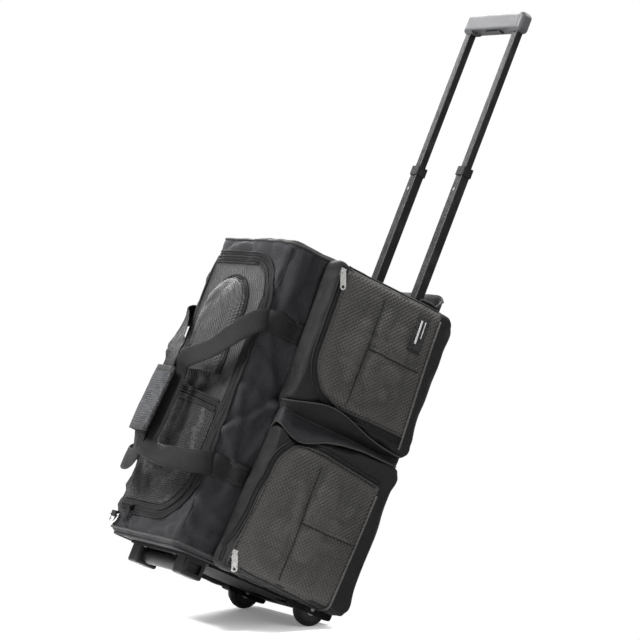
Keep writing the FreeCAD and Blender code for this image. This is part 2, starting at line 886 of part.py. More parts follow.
def rings():
    top = "base_height + body_length"
    places = (
        ("top_ring", -60, "-130", f"{top} + 3.5", True),
        ("bottom_ring", -108, "-front_reach - 3.5", "64", False),
    )
    tabs = []
    for node, x, y, z, lying in places:
        ring(node, x, y, z, lying)
        low = (x - 8, f"{y} - 4.5", top) if lying else (x - 8, f"{y} - 3", f"{z} - 4")
        high = (x + 8, f"{y} + 4.5", f"{z} + 3") if lying else (x + 8, "-front_reach", f"{z} + 6")
        tabs.append(cut(f"{node}_tab", box(f"{node}_tab_block", low, high), [
            rod(f"{node}_tab_bore", "x", (x - 20, y, z), f"ring_wire + {RUN}", 40),
        ]))
    part("ring_tabs", fuse("tab_group", tabs))


def zip_slider(name, at, yaw, roll, tilt):
    """Slider with a capped post, and the pull that hangs on the post. Local +X stands off the zip."""
    body = box(f"{name}_slider_block", (0.2, -5, -6), (3.5, 5, 8))
    post = rod(f"{name}_post", "x", (3, 0, 0), "post_radius", 4.2)
    cap = rod(f"{name}_cap", "x", (6.2, 0, 0), "post_radius + 1.3", 1)
    slider = fuse(f"{name}_slider_whole", [body, post, cap])
    plate = rounded(
        f"{name}_pull_round",
        box(f"{name}_pull_block", (4.1, "-pull_wide / 2", "4 - pull_long"),
            ("4.1 + pull_thick", "pull_wide / 2", 4)),
        value("pull_wide") / 2 - 0.3, runs_along("x"),
    )
    pull = cut(f"{name}_pull_cut", plate, [
        rod(f"{name}_pull_bore", "x", (0, 0, 0), f"post_radius + {RUN}", 10),
        rod(f"{name}_pull_eye", "x", (0, 0, "4 - pull_long + pull_wide / 2"), "pull_eye", 10),
    ])
    turn = FreeCAD.Rotation(FreeCAD.Vector(0, 0, 1), yaw)
    along = FreeCAD.Rotation(FreeCAD.Vector(1, 0, 0), roll)
    hang = FreeCAD.Rotation(FreeCAD.Vector(1, 0, 0), tilt)
    for obj, rotation in ((slider, turn * along), (pull, turn * hang)):
        obj.Placement.Rotation = rotation
        place(obj, at)
    part(f"{name}_slider", slider)
    part(f"{name}_pull", pull)


PULL_LEAN = 23  # degrees that the pulls hang off the bag's length while it is being towed


def zips():
    face = "body_width / 2 + pocket_depth"
    line = "5 - pocket_front"
    for side, sign in SIDES:
        yaw = 0 if sign > 0 else 180
        x = face if sign > 0 else f"-({face})"
        lean = sign * PULL_LEAN
        zip_slider(f"{side}_upper", (x, line, "upper_pocket_high - 22"), yaw, 0, lean)
        zip_slider(f"{side}_lower", (x, line, "lower_pocket_low + 26"), yaw, 0, lean)
    low_run = "lid_low - 2 * lid_gap - zip_width / 2"
    zip_slider("main", ("-main_slider_left", "-front_reach - zip_thick", low_run), -90, 90, 0)


# ---------------------------------------------------------------- build, check and write

fabric_shell()
lid()
for side_name, side_sign in SIDES:
    for pocket_level in ("upper", "lower"):
        side_pocket(side_name, side_sign, pocket_level)
blank_label()
lining_and_board()
pull_handle()
for side_name, side_sign in SIDES:
    wheel(side_name, side_sign)
    wheel_housing(side_name, side_sign)
axles()
base_plate()
stand_foot()
screws()
webbing()
rings()
zips()
doc.recompute()

faults = [o.Name for o in doc.Objects if "Invalid" in o.State or "Error" in o.State]
faults += [o.Label for o in parts if o.Shape.isNull() or not o.Shape.isValid()]
if faults:
    raise SystemExit(f"these objects failed: {faults}")

os.makedirs("parts", exist_ok=True)
for old in os.listdir("parts"):
    os.remove(os.path.join("parts", old))
for piece in parts:
    piece.Shape.exportStep(f"parts/{piece.Label}.step")
    size = piece.Shape.BoundBox
    print(
        f"{piece.Label:26s} solids {len(piece.Shape.Solids):2d} volume {piece.Shape.Volume:11.1f}"
        f"  x {size.XMin:7.1f} {size.XMax:7.1f}  y {size.YMin:7.1f} {size.YMax:7.1f}"
        f"  z {size.ZMin:7.1f} {size.ZMax:7.1f}"
    )
print(len(parts), "nodes")
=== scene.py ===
"""Looks of the wheeled duffel: soft cloth, webbing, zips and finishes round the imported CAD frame.

Lengths inside the helpers are millimetres in the bag's own frame: x and z as in the row, and y counted
from the same zero as the CAD source. V() turns them into the row's metres.
"""
import math

import bmesh
import bpy
from mathutils import Matrix, Vector, noise
from mathutils.bvhtree import BVHTree


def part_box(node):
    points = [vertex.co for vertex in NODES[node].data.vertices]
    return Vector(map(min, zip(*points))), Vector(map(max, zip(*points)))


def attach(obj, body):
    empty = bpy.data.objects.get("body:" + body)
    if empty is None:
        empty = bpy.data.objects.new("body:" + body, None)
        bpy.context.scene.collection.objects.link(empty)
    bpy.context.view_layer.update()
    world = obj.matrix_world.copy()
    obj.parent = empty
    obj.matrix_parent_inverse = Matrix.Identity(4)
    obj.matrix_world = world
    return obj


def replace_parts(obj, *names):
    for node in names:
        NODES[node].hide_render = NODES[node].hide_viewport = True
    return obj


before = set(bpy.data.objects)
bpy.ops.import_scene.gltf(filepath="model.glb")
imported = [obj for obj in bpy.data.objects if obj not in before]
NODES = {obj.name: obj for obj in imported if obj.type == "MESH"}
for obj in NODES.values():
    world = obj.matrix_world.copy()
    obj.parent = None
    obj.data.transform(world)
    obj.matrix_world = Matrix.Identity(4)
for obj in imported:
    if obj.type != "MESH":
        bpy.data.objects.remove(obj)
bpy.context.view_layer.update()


def box_mm(node):
    low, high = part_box(node)
    return [v * 1000 for v in low], [v * 1000 for v in high]


GRIP_LOW, GRIP_HIGH = box_mm("grip")
TUBE_Y = 122
SHIFT = (GRIP_LOW[1] + GRIP_HIGH[1]) / 2 - TUBE_Y  # row y of the bag frame's zero


def V(x, y, z):
    return Vector((x, y + SHIFT, z)) / 1000


def extent(node):
    """x0, x1, y0, y1, z0, z1 of a CAD node in the bag frame."""
    low, high = box_mm(node)
    return low[0], high[0], low[1] - SHIFT, high[1] - SHIFT, low[2], high[2]


# ---------------------------------------------------------------- camera, floor, light

AZIMUTH, ELEVATION, ROLL = (math.radians(a) for a in (29.73, -9.17, -21.08))
DISTANCE, LENS, SENSOR = 5.063, 164.92, 36  # metres, then mm
TARGET = V(0, 0, 503)

out = Vector((
    math.cos(ELEVATION) * math.cos(AZIMUTH),
    -math.cos(ELEVATION) * math.sin(AZIMUTH),
    math.sin(ELEVATION),
))
side = (-out).cross(Vector((0, 0, 1))).normalized()
rise = side.cross(-out)
cam_right = math.cos(ROLL) * side - math.sin(ROLL) * rise
cam_up = math.sin(ROLL) * side + math.cos(ROLL) * rise
cam_data = bpy.data.cameras.new("camera")
cam_data.sensor_width = SENSOR
cam_data.lens = LENS
cam_data.clip_end = 100
camera = bpy.data.objects.new("camera", cam_data)
bpy.context.scene.collection.objects.link(camera)
camera.matrix_world = Matrix.Translation(TARGET + out * DISTANCE) @ Matrix(
    (cam_right, cam_up, out)
).transposed().to_4x4()
bpy.context.scene.camera = camera

LEAN = math.radians(24.5)  # the bag is towed, so the floor is tilted in its frame
floor_normal = Vector((0, -math.sin(LEAN), math.cos(LEAN)))
floor_along = Vector((0, math.cos(LEAN), math.sin(LEAN)))
wheel_low, wheel_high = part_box("near_tyre")
WHEEL_R = (wheel_high.z - wheel_low.z) / 2
wheel_centre = Vector((0, (wheel_low.y + wheel_high.y) / 2, wheel_low.z + WHEEL_R))
contact = wheel_centre - floor_normal * (WHEEL_R + 0.0005)


def build_floor():
    ahead, behind, wide = 3.2, 0.035, 2.4
    corners = [
        contact + floor_along * a + Vector((b, 0, 0))
        for a, b in ((-ahead, -wide), (-ahead, wide), (behind, wide), (behind, -wide))
    ]
    mesh = bpy.data.meshes.new("floor")
    mesh.from_pydata(corners, [], [(0, 1, 2, 3)])
    floor = bpy.data.objects.new("floor", mesh)
    bpy.context.scene.collection.objects.link(floor)
    m = bpy.data.materials.new("floor")
    m.use_nodes = True
    shader = m.node_tree.nodes["Principled BSDF"]
    shader.inputs["Base Color"].default_value = (0.93, 0.93, 0.93, 1)
    shader.inputs["Roughness"].default_value = 0.9
    shader.inputs["Emission Color"].default_value = (1, 1, 1, 1)
    shader.inputs["Emission Strength"].default_value = 0.12
    mesh.materials.append(m)


def area_light(name, at, aim, size, power):
    data = bpy.data.lights.new(name, "AREA")
    data.shape = "DISK"
    data.size = size
    data.energy = power
    lamp = bpy.data.objects.new(name, data)
    bpy.context.scene.collection.objects.link(lamp)
    lamp.location = at
    lamp.rotation_mode = "QUATERNION"
    lamp.rotation_quaternion = (aim - at).to_track_quat("-Z", "Y")


def light_studio():
    world = bpy.data.worlds.new("world")
    bpy.context.scene.world = world
    world.use_nodes = True
    world.node_tree.nodes["Background"].inputs["Color"].default_value = (1, 1, 1, 1)
    world.node_tree.nodes["Background"].inputs["Strength"].default_value = 1.0
    for name, ahead, up, right, size, power in (
        ("key", 1.3, 2.2, -1.6, 1.3, 400), ("fill", 2.2, 0.6, 1.4, 1.8, 34),
        ("rim", -0.4, 1.6, 1.6, 1.0, 60), ("back", -2.0, 1.5, -0.6, 1.6, 110),
    ):
        at = TARGET + out * ahead + cam_up * up + cam_right * right
        area_light(name, at, TARGET, size, power)
    bpy.context.scene.view_settings.view_transform = "Standard"


# ---------------------------------------------------------------- materials


EXPOSURE = 0.58  # every finish is darkened by this for the strong key light


class Paint:
    """A principled material, and the node recipes its colour, bumps and gloss are made of."""

    def __init__(self, name, rough, metal=0.0, specular=0.5, sheen=0.0, coat=0.0):
        self.material = bpy.data.materials.new(name)
        self.material.use_nodes = True
        self.tree = self.material.node_tree
        self.shader = self.tree.nodes["Principled BSDF"]
        for key, number in (
            ("Roughness", rough), ("Metallic", metal), ("Specular IOR Level", specular),
            ("Sheen Weight", sheen), ("Coat Weight", coat), ("Sheen Roughness", 0.4),
        ):
            self.shader.inputs[key].default_value = number
        self.at = self.add("ShaderNodeTexCoord").outputs["Object"]

    def add(self, kind, settings=None, **inputs):
        node = self.tree.nodes.new(kind)
        for key, item in (settings or {}).items():
            setattr(node, key, item)
        for key, item in inputs.items():
            socket = node.inputs[int(key[1:])] if key[1:].isdigit() else node.inputs[key]
            if isinstance(item, bpy.types.NodeSocket):
                self.tree.links.new(item, socket)
            else:
                socket.default_value = item
        return node

    def math(self, operation, a, b=0.0):
        return self.add("ShaderNodeMath", {"operation": operation}, i0=a, i1=b).outputs[0]

    def total(self, *terms):
        """Sum of (value, weight) pairs."""
        result = None
        for item, weight in terms:
            part = item if weight == 1 else self.math("MULTIPLY", item, weight)
            result = part if result is None else self.math("ADD", result, part)
        return result

    def waves(self, pitch, spin=0.0, axis="X_AXIS"):
        """Grid of soft bumps from the object's own coordinates: the sum of three sines, -3 to 3."""
        turned = self.add(
            "ShaderNodeVectorRotate", {"rotation_type": axis}, Vector=self.at, Angle=spin
        ).outputs[0]
        scale = 2 * math.pi / (pitch / 1000)
        scaled = self.add(
            "ShaderNodeVectorMath", {"operation": "SCALE"}, Vector=turned, Scale=scale
        ).outputs[0]
        sines = self.add("ShaderNodeVectorMath", {"operation": "SINE"}, i0=scaled).outputs[0]
        return self.add(
            "ShaderNodeVectorMath", {"operation": "DOT_PRODUCT"}, i0=sines, i1=(1, 1, 1)
        ).outputs["Value"]

    def ribs(self, run, pitch):
        return self.math("SINE", self.math("MULTIPLY", run, 2 * math.pi / pitch))

    def band_map(self):
        """Run along a swept band and distance from its middle, both in mm."""
        uv = self.add("ShaderNodeUVMap", {"uv_map": "run"}).outputs[0]
        parts = self.add("ShaderNodeSeparateXYZ", Vector=uv)
        return parts.outputs[0], parts.outputs[1]

    def stretched(self, scale):
        return self.add("ShaderNodeMapping", Vector=self.at, Scale=scale).outputs[0]

    def noise(self, size, detail=3.0, rough=0.55, at=None):
        return self.add(
            "ShaderNodeTexNoise", Vector=at or self.at, Scale=1000 / size,
            Detail=detail, Roughness=rough,
        ).outputs["Fac"]

    def span(self, item, low, high, to_low, to_high):
        made = self.add("ShaderNodeMapRange", Value=item)
        for key, number in (
            ("From Min", low), ("From Max", high), ("To Min", to_low), ("To Max", to_high)
        ):
            made.inputs[key].default_value = number
        return made.outputs["Result"]

    def finish(self, tone, dark, light, height, depth, gloss=None):
        """Colour from dark to light by tone, bumps up to depth mm and, if given, uneven gloss."""
        mixed = self.add("ShaderNodeMix", {"data_type": "RGBA"}, i0=tone)
        for index, colour in ((6, dark), (7, light)):
            mixed.inputs[index].default_value = (*(EXPOSURE * c for c in colour), 1)
        self.tree.links.new(mixed.outputs[2], self.shader.inputs["Base Color"])
        bump = self.add("ShaderNodeBump", Height=height, Strength=1.0, Distance=depth / 1000)
        self.tree.links.new(bump.outputs[0], self.shader.inputs["Normal"])
        if gloss is not None:
            self.tree.links.new(gloss, self.shader.inputs["Roughness"])
        return self.material


def cloth(name, dark, light, pitch, depth, rough=0.75, sheen=0.02, spin=0.0, axis="X_AXIS",
          shine=0.14, pattern=0.6):
    """Woven cloth: a grid of threads, uneven dye and soft creases, in the piece's own coordinates."""
    paint = Paint(name, rough, specular=shine, sheen=sheen)
    weave = paint.waves(pitch, spin, axis)
    thread = paint.span(weave, -1.5, 1.5, 0.0, 1.0)
    dye = paint.noise(45)
    fluff = paint.noise(1.8, 2.0)
    soft = paint.noise(24, 4.0)
    tone = paint.total((thread, pattern), (dye, 0.22), (fluff, 0.9 - pattern))
    height = paint.total((weave, depth), (soft, 4.0), (fluff, 0.3))
    gloss = paint.span(dye, 0.3, 0.7, rough - 0.06, rough + 0.08)
    return paint.finish(paint.span(tone, 0.15, 0.95, 0.0, 1.0), dark, light, height, 0.6, gloss)


def plastic(name, base, rough, grain=0.8, specular=0.5):
    """Moulded or coated surface: fine grain, faint scuffs and slightly uneven gloss."""
    paint = Paint(name, rough, specular=specular)
    fine = paint.noise(grain, 2.0)
    scuff = paint.noise(30, 5.0, 0.7)
    lighter = tuple(min(1.0, c * 1.5 + 0.01) for c in base)
    height = paint.total((fine, 1), (scuff, 0.6))
    gloss = paint.span(scuff, 0.3, 0.75, max(rough - 0.07, 0.05), rough + 0.12)
    return paint.finish(paint.span(scuff, 0.5, 0.8, 0.0, 1.0), base, lighter, height, 0.08, gloss)


def brushed(name, base, rough):
    """Metal with fine lines along z."""
    paint = Paint(name, rough, metal=1.0)
    lines = paint.noise(0.9, 4.0, at=paint.stretched((1, 1, 0.12)))
    darker = tuple(c * 0.72 for c in base)
    gloss = paint.span(lines, 0.3, 0.7, rough - 0.06, rough + 0.1)
    return paint.finish(paint.span(lines, 0.3, 0.7, 0.0, 1.0), darker, base, lines, 0.02, gloss)


def net_material():
    """Knitted net: light threads round small dark holes, over the lid's cloth."""
    paint = Paint("net", 0.75, specular=0.08)
    cells = paint.add(
        "ShaderNodeTexVoronoi", {"feature": "DISTANCE_TO_EDGE"},
        Vector=paint.stretched((1, 0.6, 1.25)), Scale=1000 / 4.6, Randomness=0.35,
    ).outputs["Distance"]
    thread = paint.span(cells, 0.05, 0.22, 1.0, 0.0)
    tone = paint.math("MULTIPLY", thread, paint.span(paint.noise(40), 0.3, 0.7, 0.75, 1.0))
    return paint.finish(tone, (0.0013, 0.0012, 0.0013), (0.038, 0.037, 0.038), thread, 0.7)


def webbing_material(name, dark, light):
    """Ribbed webbing: ribs along and across the band, from the band's own UV map."""
    paint = Paint(name, 0.66, specular=0.1)
    run, off = paint.band_map()
    rib = paint.total((paint.ribs(run, 2.2), 0.5), (paint.ribs(off, 3.4), 0.35))
    tone = paint.total((rib, 0.3), (paint.noise(25, 4.0), 1))
    return paint.finish(paint.span(tone, 0.1, 1.0, 0.0, 1.0), dark, light, rib, 0.35)


def zip_material():
    """Zip tape with a coil: close teeth down the middle of the band, from the band's UV map."""
    paint = Paint("zip_band", 0.62, specular=0.1)
    run, off = paint.band_map()
    mask = paint.span(paint.math("ABSOLUTE", off), 1.6, 2.4, 1.0, 0.0)
    height = paint.total((paint.ribs(run, 1.6), mask), (paint.waves(1.1), 0.12))
    tone = paint.total((mask, 0.35), (paint.noise(30), 0.5))
    return paint.finish(tone, (0.0016, 0.0016, 0.0018), (0.0080, 0.0078, 0.0086), height, 0.4)


def knit_material():
    """Grey ribbed knit of the hand wrap, with bright single stitches."""
    paint = Paint("knit", 0.75, specular=0.1)
    rows = paint.waves(2.6, 0.8)
    spark = paint.noise(1.6, 1.0)
    tone = paint.total(
        (paint.span(rows, -2, 2, 0.0, 0.35), 1), (paint.span(spark, 0.5, 0.72, 0.0, 0.75), 1),
        (paint.span(paint.noise(22, 4.0), 0.3, 0.7, -0.08, 0.12), 1),
    )
    height = paint.total((rows, 1), (spark, 2.0))
    return paint.finish(tone, (0.0095, 0.0095, 0.0108), (0.105, 0.107, 0.114), height, 0.3)


def label_material():
    """Black woven label."""
    paint = Paint("label", 0.6, specular=0.15, sheen=0.01)
    weave = paint.waves(0.9)
    tone = paint.total((paint.span(weave, -2, 2, 0.0, 0.5), 1), (paint.noise(12), 0.4))
    return paint.finish(tone, (0.003, 0.003, 0.0034), (0.010, 0.010, 0.011), weave, 0.15)


def make_materials():
    return {
        "shell": cloth("shell_cloth", (0.0026, 0.0026, 0.0034), (0.0150, 0.0148, 0.0180), 2.2, 0.1,
                       pattern=0.25),
        # darker copy of the black cloth: painted shade on the pocket fronts turned to the key light and on
        # the fold's downward sheet; also the dark seams, hood and ring tabs
        "shaded_black": cloth("shaded_black_cloth", (0.0014, 0.0013, 0.0014), (0.0050, 0.0046, 0.0050), 2.2, 0.1,
                        pattern=0.25),
        "dobby": cloth("pocket_dobby", (0.0060, 0.0056, 0.0052), (0.0330, 0.0305, 0.0285), 5.4, 0.5,
                       rough=0.6, spin=0.785, shine=0.22),
        "lid": cloth("lid_dobby", (0.0045, 0.0043, 0.0047), (0.0215, 0.0206, 0.0212), 4.6, 0.45,
                     rough=0.62, spin=0.785, axis="Y_AXIS", shine=0.2),
        "lining": cloth("lining_cloth", (0.010, 0.010, 0.011), (0.028, 0.028, 0.029), 1.8, 0.1,
                        pattern=0.25),
        "inner": cloth("inner_cloth", (0.0030, 0.0030, 0.0032), (0.0080, 0.0080, 0.0085), 1.8, 0.1,
                       pattern=0.25),
        "piping": cloth("piping_cloth", (0.0075, 0.0072, 0.0070), (0.030, 0.029, 0.028), 1.3, 0.2,
                        rough=0.6, pattern=0.3),
        "grey_piping": cloth("grey_piping", (0.024, 0.023, 0.022), (0.085, 0.082, 0.079), 1.3, 0.2,
                             rough=0.6, pattern=0.3),
        "thread": cloth("seam_thread", (0.0012, 0.0012, 0.0012), (0.0045, 0.0043, 0.0043), 1.0, 0.2,
                        pattern=0.3),
        "stitch": cloth("stitch_thread", (0.010, 0.010, 0.0105), (0.028, 0.028, 0.03), 0.8, 0.2,
                        pattern=0.3),
        "webbing": webbing_material("webbing", (0.0016, 0.0015, 0.0016), (0.0088, 0.0083, 0.0086)),
        "zip": zip_material(),
        "net": net_material(),
        "knit": knit_material(),
        "label": label_material(),
        "light_bar": cloth("label_bars", (0.25, 0.25, 0.25), (0.6, 0.6, 0.6), 0.9, 0.15, pattern=0.3),
        "tube": plastic("tube_anodised", (0.0030, 0.0028, 0.0029), 0.34, 0.5, specular=0.13),
        "black": plastic("black_moulding", (0.0036, 0.0036, 0.0040), 0.5, 1.1, specular=0.1),
        "base": plastic("base_moulding", (0.0030, 0.0030, 0.0033), 0.7, 1.1, specular=0.04),
        "grip": plastic("grip_moulding", (0.036, 0.0365, 0.039), 0.5, 0.9, specular=0.3),
        "button": plastic("button_moulding", (0.012, 0.012, 0.013), 0.45, 0.9, specular=0.3),
        "rubber": plastic("tyre_rubber", (0.0028, 0.0028, 0.0028), 0.65, 1.4, specular=0.1),
        "hub": plastic("hub_moulding", (0.0055, 0.0055, 0.006), 0.5, 0.8, specular=0.12),
        "board": plastic("board_sheet", (0.012, 0.012, 0.012), 0.6, 1.4, specular=0.2),
        "steel": brushed("zinc_steel", (0.30, 0.30, 0.31), 0.35),
        "nickel": brushed("nickel_plate", (0.72, 0.71, 0.69), 0.22),
        "black_zinc": brushed("black_zinc", (0.016, 0.016, 0.018), 0.4),
    }


MAT = make_materials()

CAD_FINISH = {
    "handle_lining": "lining", "back_board": "board", "outer_tubes": "tube", "lower_tubes": "tube",
    "upper_tubes": "tube", "lock_pins": "nickel", "tube_collars": "black", "tube_bracket": "black",
    "handle_bezel": "black", "grip": "grip", "release_button": "button", "wheel_axles": "steel",
    "base_plate": "base", "stand_foot": "black", "screws": "steel", "top_ring": "nickel",
    "bottom_ring": "nickel", "ring_tabs": "shaded_black", "main_slider": "black_zinc", "main_pull": "black_zinc",
    "blank_label": "label",
}
for prefix in ("near", "far"):
    CAD_FINISH[f"{prefix}_tyre"] = "rubber"
    CAD_FINISH[f"{prefix}_hub"] = "hub"
    CAD_FINISH[f"{prefix}_bearings"] = "steel"
    CAD_FINISH[f"{prefix}_wheel_housing"] = "base"
    for level in ("upper", "lower"):
        CAD_FINISH[f"{prefix}_{level}_slider"] = "nickel"
        CAD_FINISH[f"{prefix}_{level}_pull"] = "nickel"
for node_name, finish in CAD_FINISH.items():
    mesh = NODES[node_name].data
    mesh.materials.clear()
    mesh.materials.append(MAT[finish])


# ---------------------------------------------------------------- mesh helpers


def piece(name, verts, faces, material, body="bag", smooth=True, uv=None):
    """New object from millimetre points, riding on a body."""
    mesh = bpy.data.meshes.new(name)
    mesh.from_pydata([V(*p) for p in verts], [], faces)
    if uv is not None:
        layer = mesh.uv_layers.new(name="run")
        for loop in mesh.loops:
            layer.data[loop.index].uv = uv[loop.vertex_index]
    mesh.materials.append(MAT[material])
    bm = bmesh.new()
    bm.from_mesh(mesh)
    bmesh.ops.recalc_face_normals(bm, faces=bm.faces)
    bm.to_mesh(mesh)
    bm.free()
    if smooth:
        for polygon in mesh.polygons:
            polygon.use_smooth = True
    obj = bpy.data.objects.new(name, mesh)
    bpy.context.scene.collection.objects.link(obj)
    if body:
        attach(obj, body)
    return obj


def surface_of(obj):
    """Search tree of an object's final mesh, in row metres."""
    depsgraph = bpy.context.evaluated_depsgraph_get()
    evaluated = obj.evaluated_get(depsgraph)
    mesh = evaluated.to_mesh()
    tree = BVHTree.FromPolygons(
        [v.co.copy() for v in mesh.vertices], [tuple(p.vertices) for p in mesh.polygons]
    )
    evaluated.to_mesh_clear()
    return tree


def drop(tree, point, inward, lift=0.0):
    """Point (mm) moved along inward (unit) onto the surface, then lifted off it; with the normal."""
    start = V(*point) - inward * 0.08
    hit, normal, _, _ = tree.ray_cast(start, inward, 0.2)
    if hit is None:
        hit, normal = V(*point), -inward
    if normal.dot(inward) > 0:
        normal = -normal
    hit = hit + normal * (lift / 1000)
    return (hit.x * 1000, hit.y * 1000 - SHIFT, hit.z * 1000), normal


def smooth_path(points, step=6.0, closed=False):
    """Catmull-Rom curve through the points, sampled about every step mm."""
    pts = [Vector(p) for p in points]
    n = len(pts)
    result = []
    for i in range(n if closed else n - 1):
        if closed:
            a, b, c, d = pts[i - 1], pts[i], pts[(i + 1) % n], pts[(i + 2) % n]
        else:
            a, b, c, d = pts[max(i - 1, 0)], pts[i], pts[i + 1], pts[min(i + 2, n - 1)]
        count = max(1, round((c - b).length / step))
        for k in range(count):
            t = k / count
            result.append(0.5 * (
                2 * b + (c - a) * t + (2 * a - 5 * b + 4 * c - d) * t * t
                + (3 * b - a - 3 * c + d) * t ** 3
            ))
    if not closed:
        result.append(pts[-1])
    return result


def sweep(name, path, normals, profile, material, body="bag", closed=False):
    """Carries a closed (across, up) outline along a path; across is path direction x normal."""
    path = [Vector(p) for p in path]
    n, m = len(path), len(profile)
    verts, uv, run = [], [], 0.0
    for i, point in enumerate(path):
        if closed:
            direction = path[(i + 1) % n] - path[i - 1]
        else:
            direction = path[min(i + 1, n - 1)] - path[max(i - 1, 0)]
        direction.normalize()
        up = Vector(normals[i])
        up = (up - direction * up.dot(direction)).normalized()
        across = direction.cross(up)
        if i:
            run += (point - path[i - 1]).length
        for a, b in profile:
            verts.append(tuple(point + across * a + up * b))
            uv.append((run, a))
    faces = []
    for i in range(n if closed else n - 1):
        j = (i + 1) % n
        for k in range(m):
            q = (k + 1) % m
            faces.append((i * m + k, i * m + q, j * m + q, j * m + k))
    if not closed:
        faces.append(tuple(range(m - 1, -1, -1)))
        faces.append(tuple((n - 1) * m + k for k in range(m)))
    return piece(name, verts, faces, material, body, uv=uv)


def closed_sheet(name, grid, back, material, body="bag"):
    """Thin closed sheet through a grid of points; back is the step from its face to its underside."""
    rows, w = len(grid), len(grid[0])
    outer = [point for line in grid for point in line]
    n = len(outer)
    verts = outer + [tuple(a + b for a, b in zip(point, back)) for point in outer]
    faces = []
    for r in range(rows - 1):
        for c in range(w - 1):
            a = r * w + c
            faces.append((a, a + 1, a + w + 1, a + w))
            faces.append((n + a, n + a + w, n + a + w + 1, n + a + 1))
    rim = list(range(w)) + [r * w + w - 1 for r in range(1, rows)]
    rim += [(rows - 1) * w + c for c in range(w - 2, -1, -1)] + [r * w for r in range(rows - 2, 0, -1)]
    for a, b in zip(rim, rim[1:] + rim[:1]):
        faces.append((a, b, n + b, n + a))
    return piece(name, verts, faces, material, body)


def double_wall(name, line, rows, place, material, body="bag"):
    """Standing wall along a line, with the points of its two sides.

    place(point, normal, share along, share up, side) gives each point.
    """
    count = len(line)
    w = 2 * count
    verts, faces = [], []
    for r in range(rows + 1):
        for side_index in (0, 1):
            for k, p in enumerate(line):
                d = (line[min(k + 1, count - 1)] - line[max(k - 1, 0)]).normalized()
                verts.append(place(p, Vector((-d.y, d.x, 0)), k / (count - 1), r / rows, side_index))
    for r in range(rows):
        for start in (0, count):
            for k in range(count - 1):
                a = r * w + start + k
                faces.append((a, a + 1, a + w + 1, a + w))
        for k in (0, count - 1):
            a, b = r * w + k, r * w + count + k
            faces.append((a, b, b + w, a + w))
    for r in (0, rows):
        for k in range(count - 1):
            a = r * w + k
            faces.append((a, a + 1, a + count + 1, a + count))
    return piece(name, verts, faces, material, body), verts


def circle(radius, count=8):
    return [
        (radius * math.cos(2 * math.pi * k / count), radius * math.sin(2 * math.pi * k / count))
        for k in range(count)
    ]


def flat_band(wide, thick, edge=0.7, columns=6, crown=0.0):
    """Outline of a flat strip with eased edges and an optional crown."""
    half = wide / 2
    top, low = [], []
    for k in range(columns + 1):
        a = -half + edge + (wide - 2 * edge) * k / columns
        rise_here = crown * (1 - (2 * k / columns - 1) ** 2)
        top.append((a, thick / 2 + rise_here))
        low.append((a, -thick / 2 + rise_here))
    ends = [(-half, -thick / 4), (-half, thick / 4)], [(half, thick / 4), (half, -thick / 4)]
    return [*ends[0], *top, *ends[1], *low[::-1]]


def ridges(wide, base, bumps):
    """Outline of a sewn band: a flat base with rounded ridges at (centre, half width, height)."""
    half = wide / 2
    points, count = [], max(8, int(wide / 0.9))
    for k in range(count + 1):
        a = -half + wide * k / count
        h = base
        for centre, reach, height in bumps:
            d = abs(a - centre) / reach
            if d < 1:
                h = max(h, base + height * math.sqrt(max(0.0, 1 - d * d)))
        points.append((a, h))
    return [(half, -0.6), *points[::-1], (-half, -0.6)]


def lattice(low, high, cell, radius):
    """Positions along one side of a soft box: close together inside its rounded ends."""
    close = [0, 0.08, 0.2, 0.38, 0.62, 1]
    marks = [low + radius * f for f in close] + [high - radius * f for f in close]
    inner = high - low - 2 * radius
    count = max(1, round(inner / cell))
    marks += [low + radius + inner * k / count for k in range(1, count)]
    return sorted(set(round(v, 3) for v in marks))


def soft_box(low, high, cell, radius, shape=None):
    """Rounded box as a closed grid. shape(point, outward) gives each point's final place."""
    axes = [lattice(low[i], high[i], cell, radius) for i in range(3)]
    keys, verts, faces = {}, [], []

    def vertex(key):
        if key not in keys:
            keys[key] = len(verts)
            p = Vector(axes[i][key[i]] for i in range(3))
            core = Vector(
                min(max(p[i], low[i] + radius), high[i] - radius) for i in range(3)
            )
            outward = (p - core).normalized()
            p = core + outward * radius
            verts.append(tuple(shape(p, outward) if shape else p))
        return keys[key]

    sizes = [len(a) - 1 for a in axes]
    for axis in range(3):
        u, v = [i for i in range(3) if i != axis]
        for end in (0, sizes[axis]):
            for i in range(sizes[u]):
                for j in range(sizes[v]):
                    quad = []
                    for di, dj in ((0, 0), (1, 0), (1, 1), (0, 1)):
                        key = [0, 0, 0]
                        key[axis], key[u], key[v] = end, i + di, j + dj
                        quad.append(vertex(tuple(key)))
                    faces.append(quad)
    return verts, faces


def rumple(p, size, height, seed=0.0):
    """Gentle unevenness of filled cloth."""
    q = Vector(p) / size + Vector((seed, 2.3 * seed, -seed))
    return noise.noise(q) * height


def crease(p, sizes, height, seed=0.0, sharp=7):
    """Narrow valleys between soft lobes, longer along the axis with the larger size."""
    q = Vector(p[i] / sizes[i] for i in range(3)) + Vector((seed, seed * 1.7, seed * 0.6))
    return -height * (1 - abs(noise.noise(q))) ** sharp


def dome(t, power=2.0):
    """1 in the middle of 0..1 and 0 at both ends."""
    return max(0.0, 1 - abs(2 * t - 1) ** power)


def near_line(distance, reach):
    return math.exp(-((distance / reach) ** 2))


def modify(obj, kind, **settings):
    modifier = obj.modifiers.new(kind.lower(), kind)
    for key, item in settings.items():
        setattr(modifier, key, item)
    return modifier


def bake_modifiers(obj):
    """Keeps the result of the object's modifiers as its own mesh."""
    depsgraph = bpy.context.evaluated_depsgraph_get()
    evaluated = obj.evaluated_get(depsgraph)
    mesh = bpy.data.meshes.new_from_object(evaluated, depsgraph=depsgraph)
    obj.modifiers.clear()
    obj.data = mesh
    return obj


SWELL_FRAMES = 20


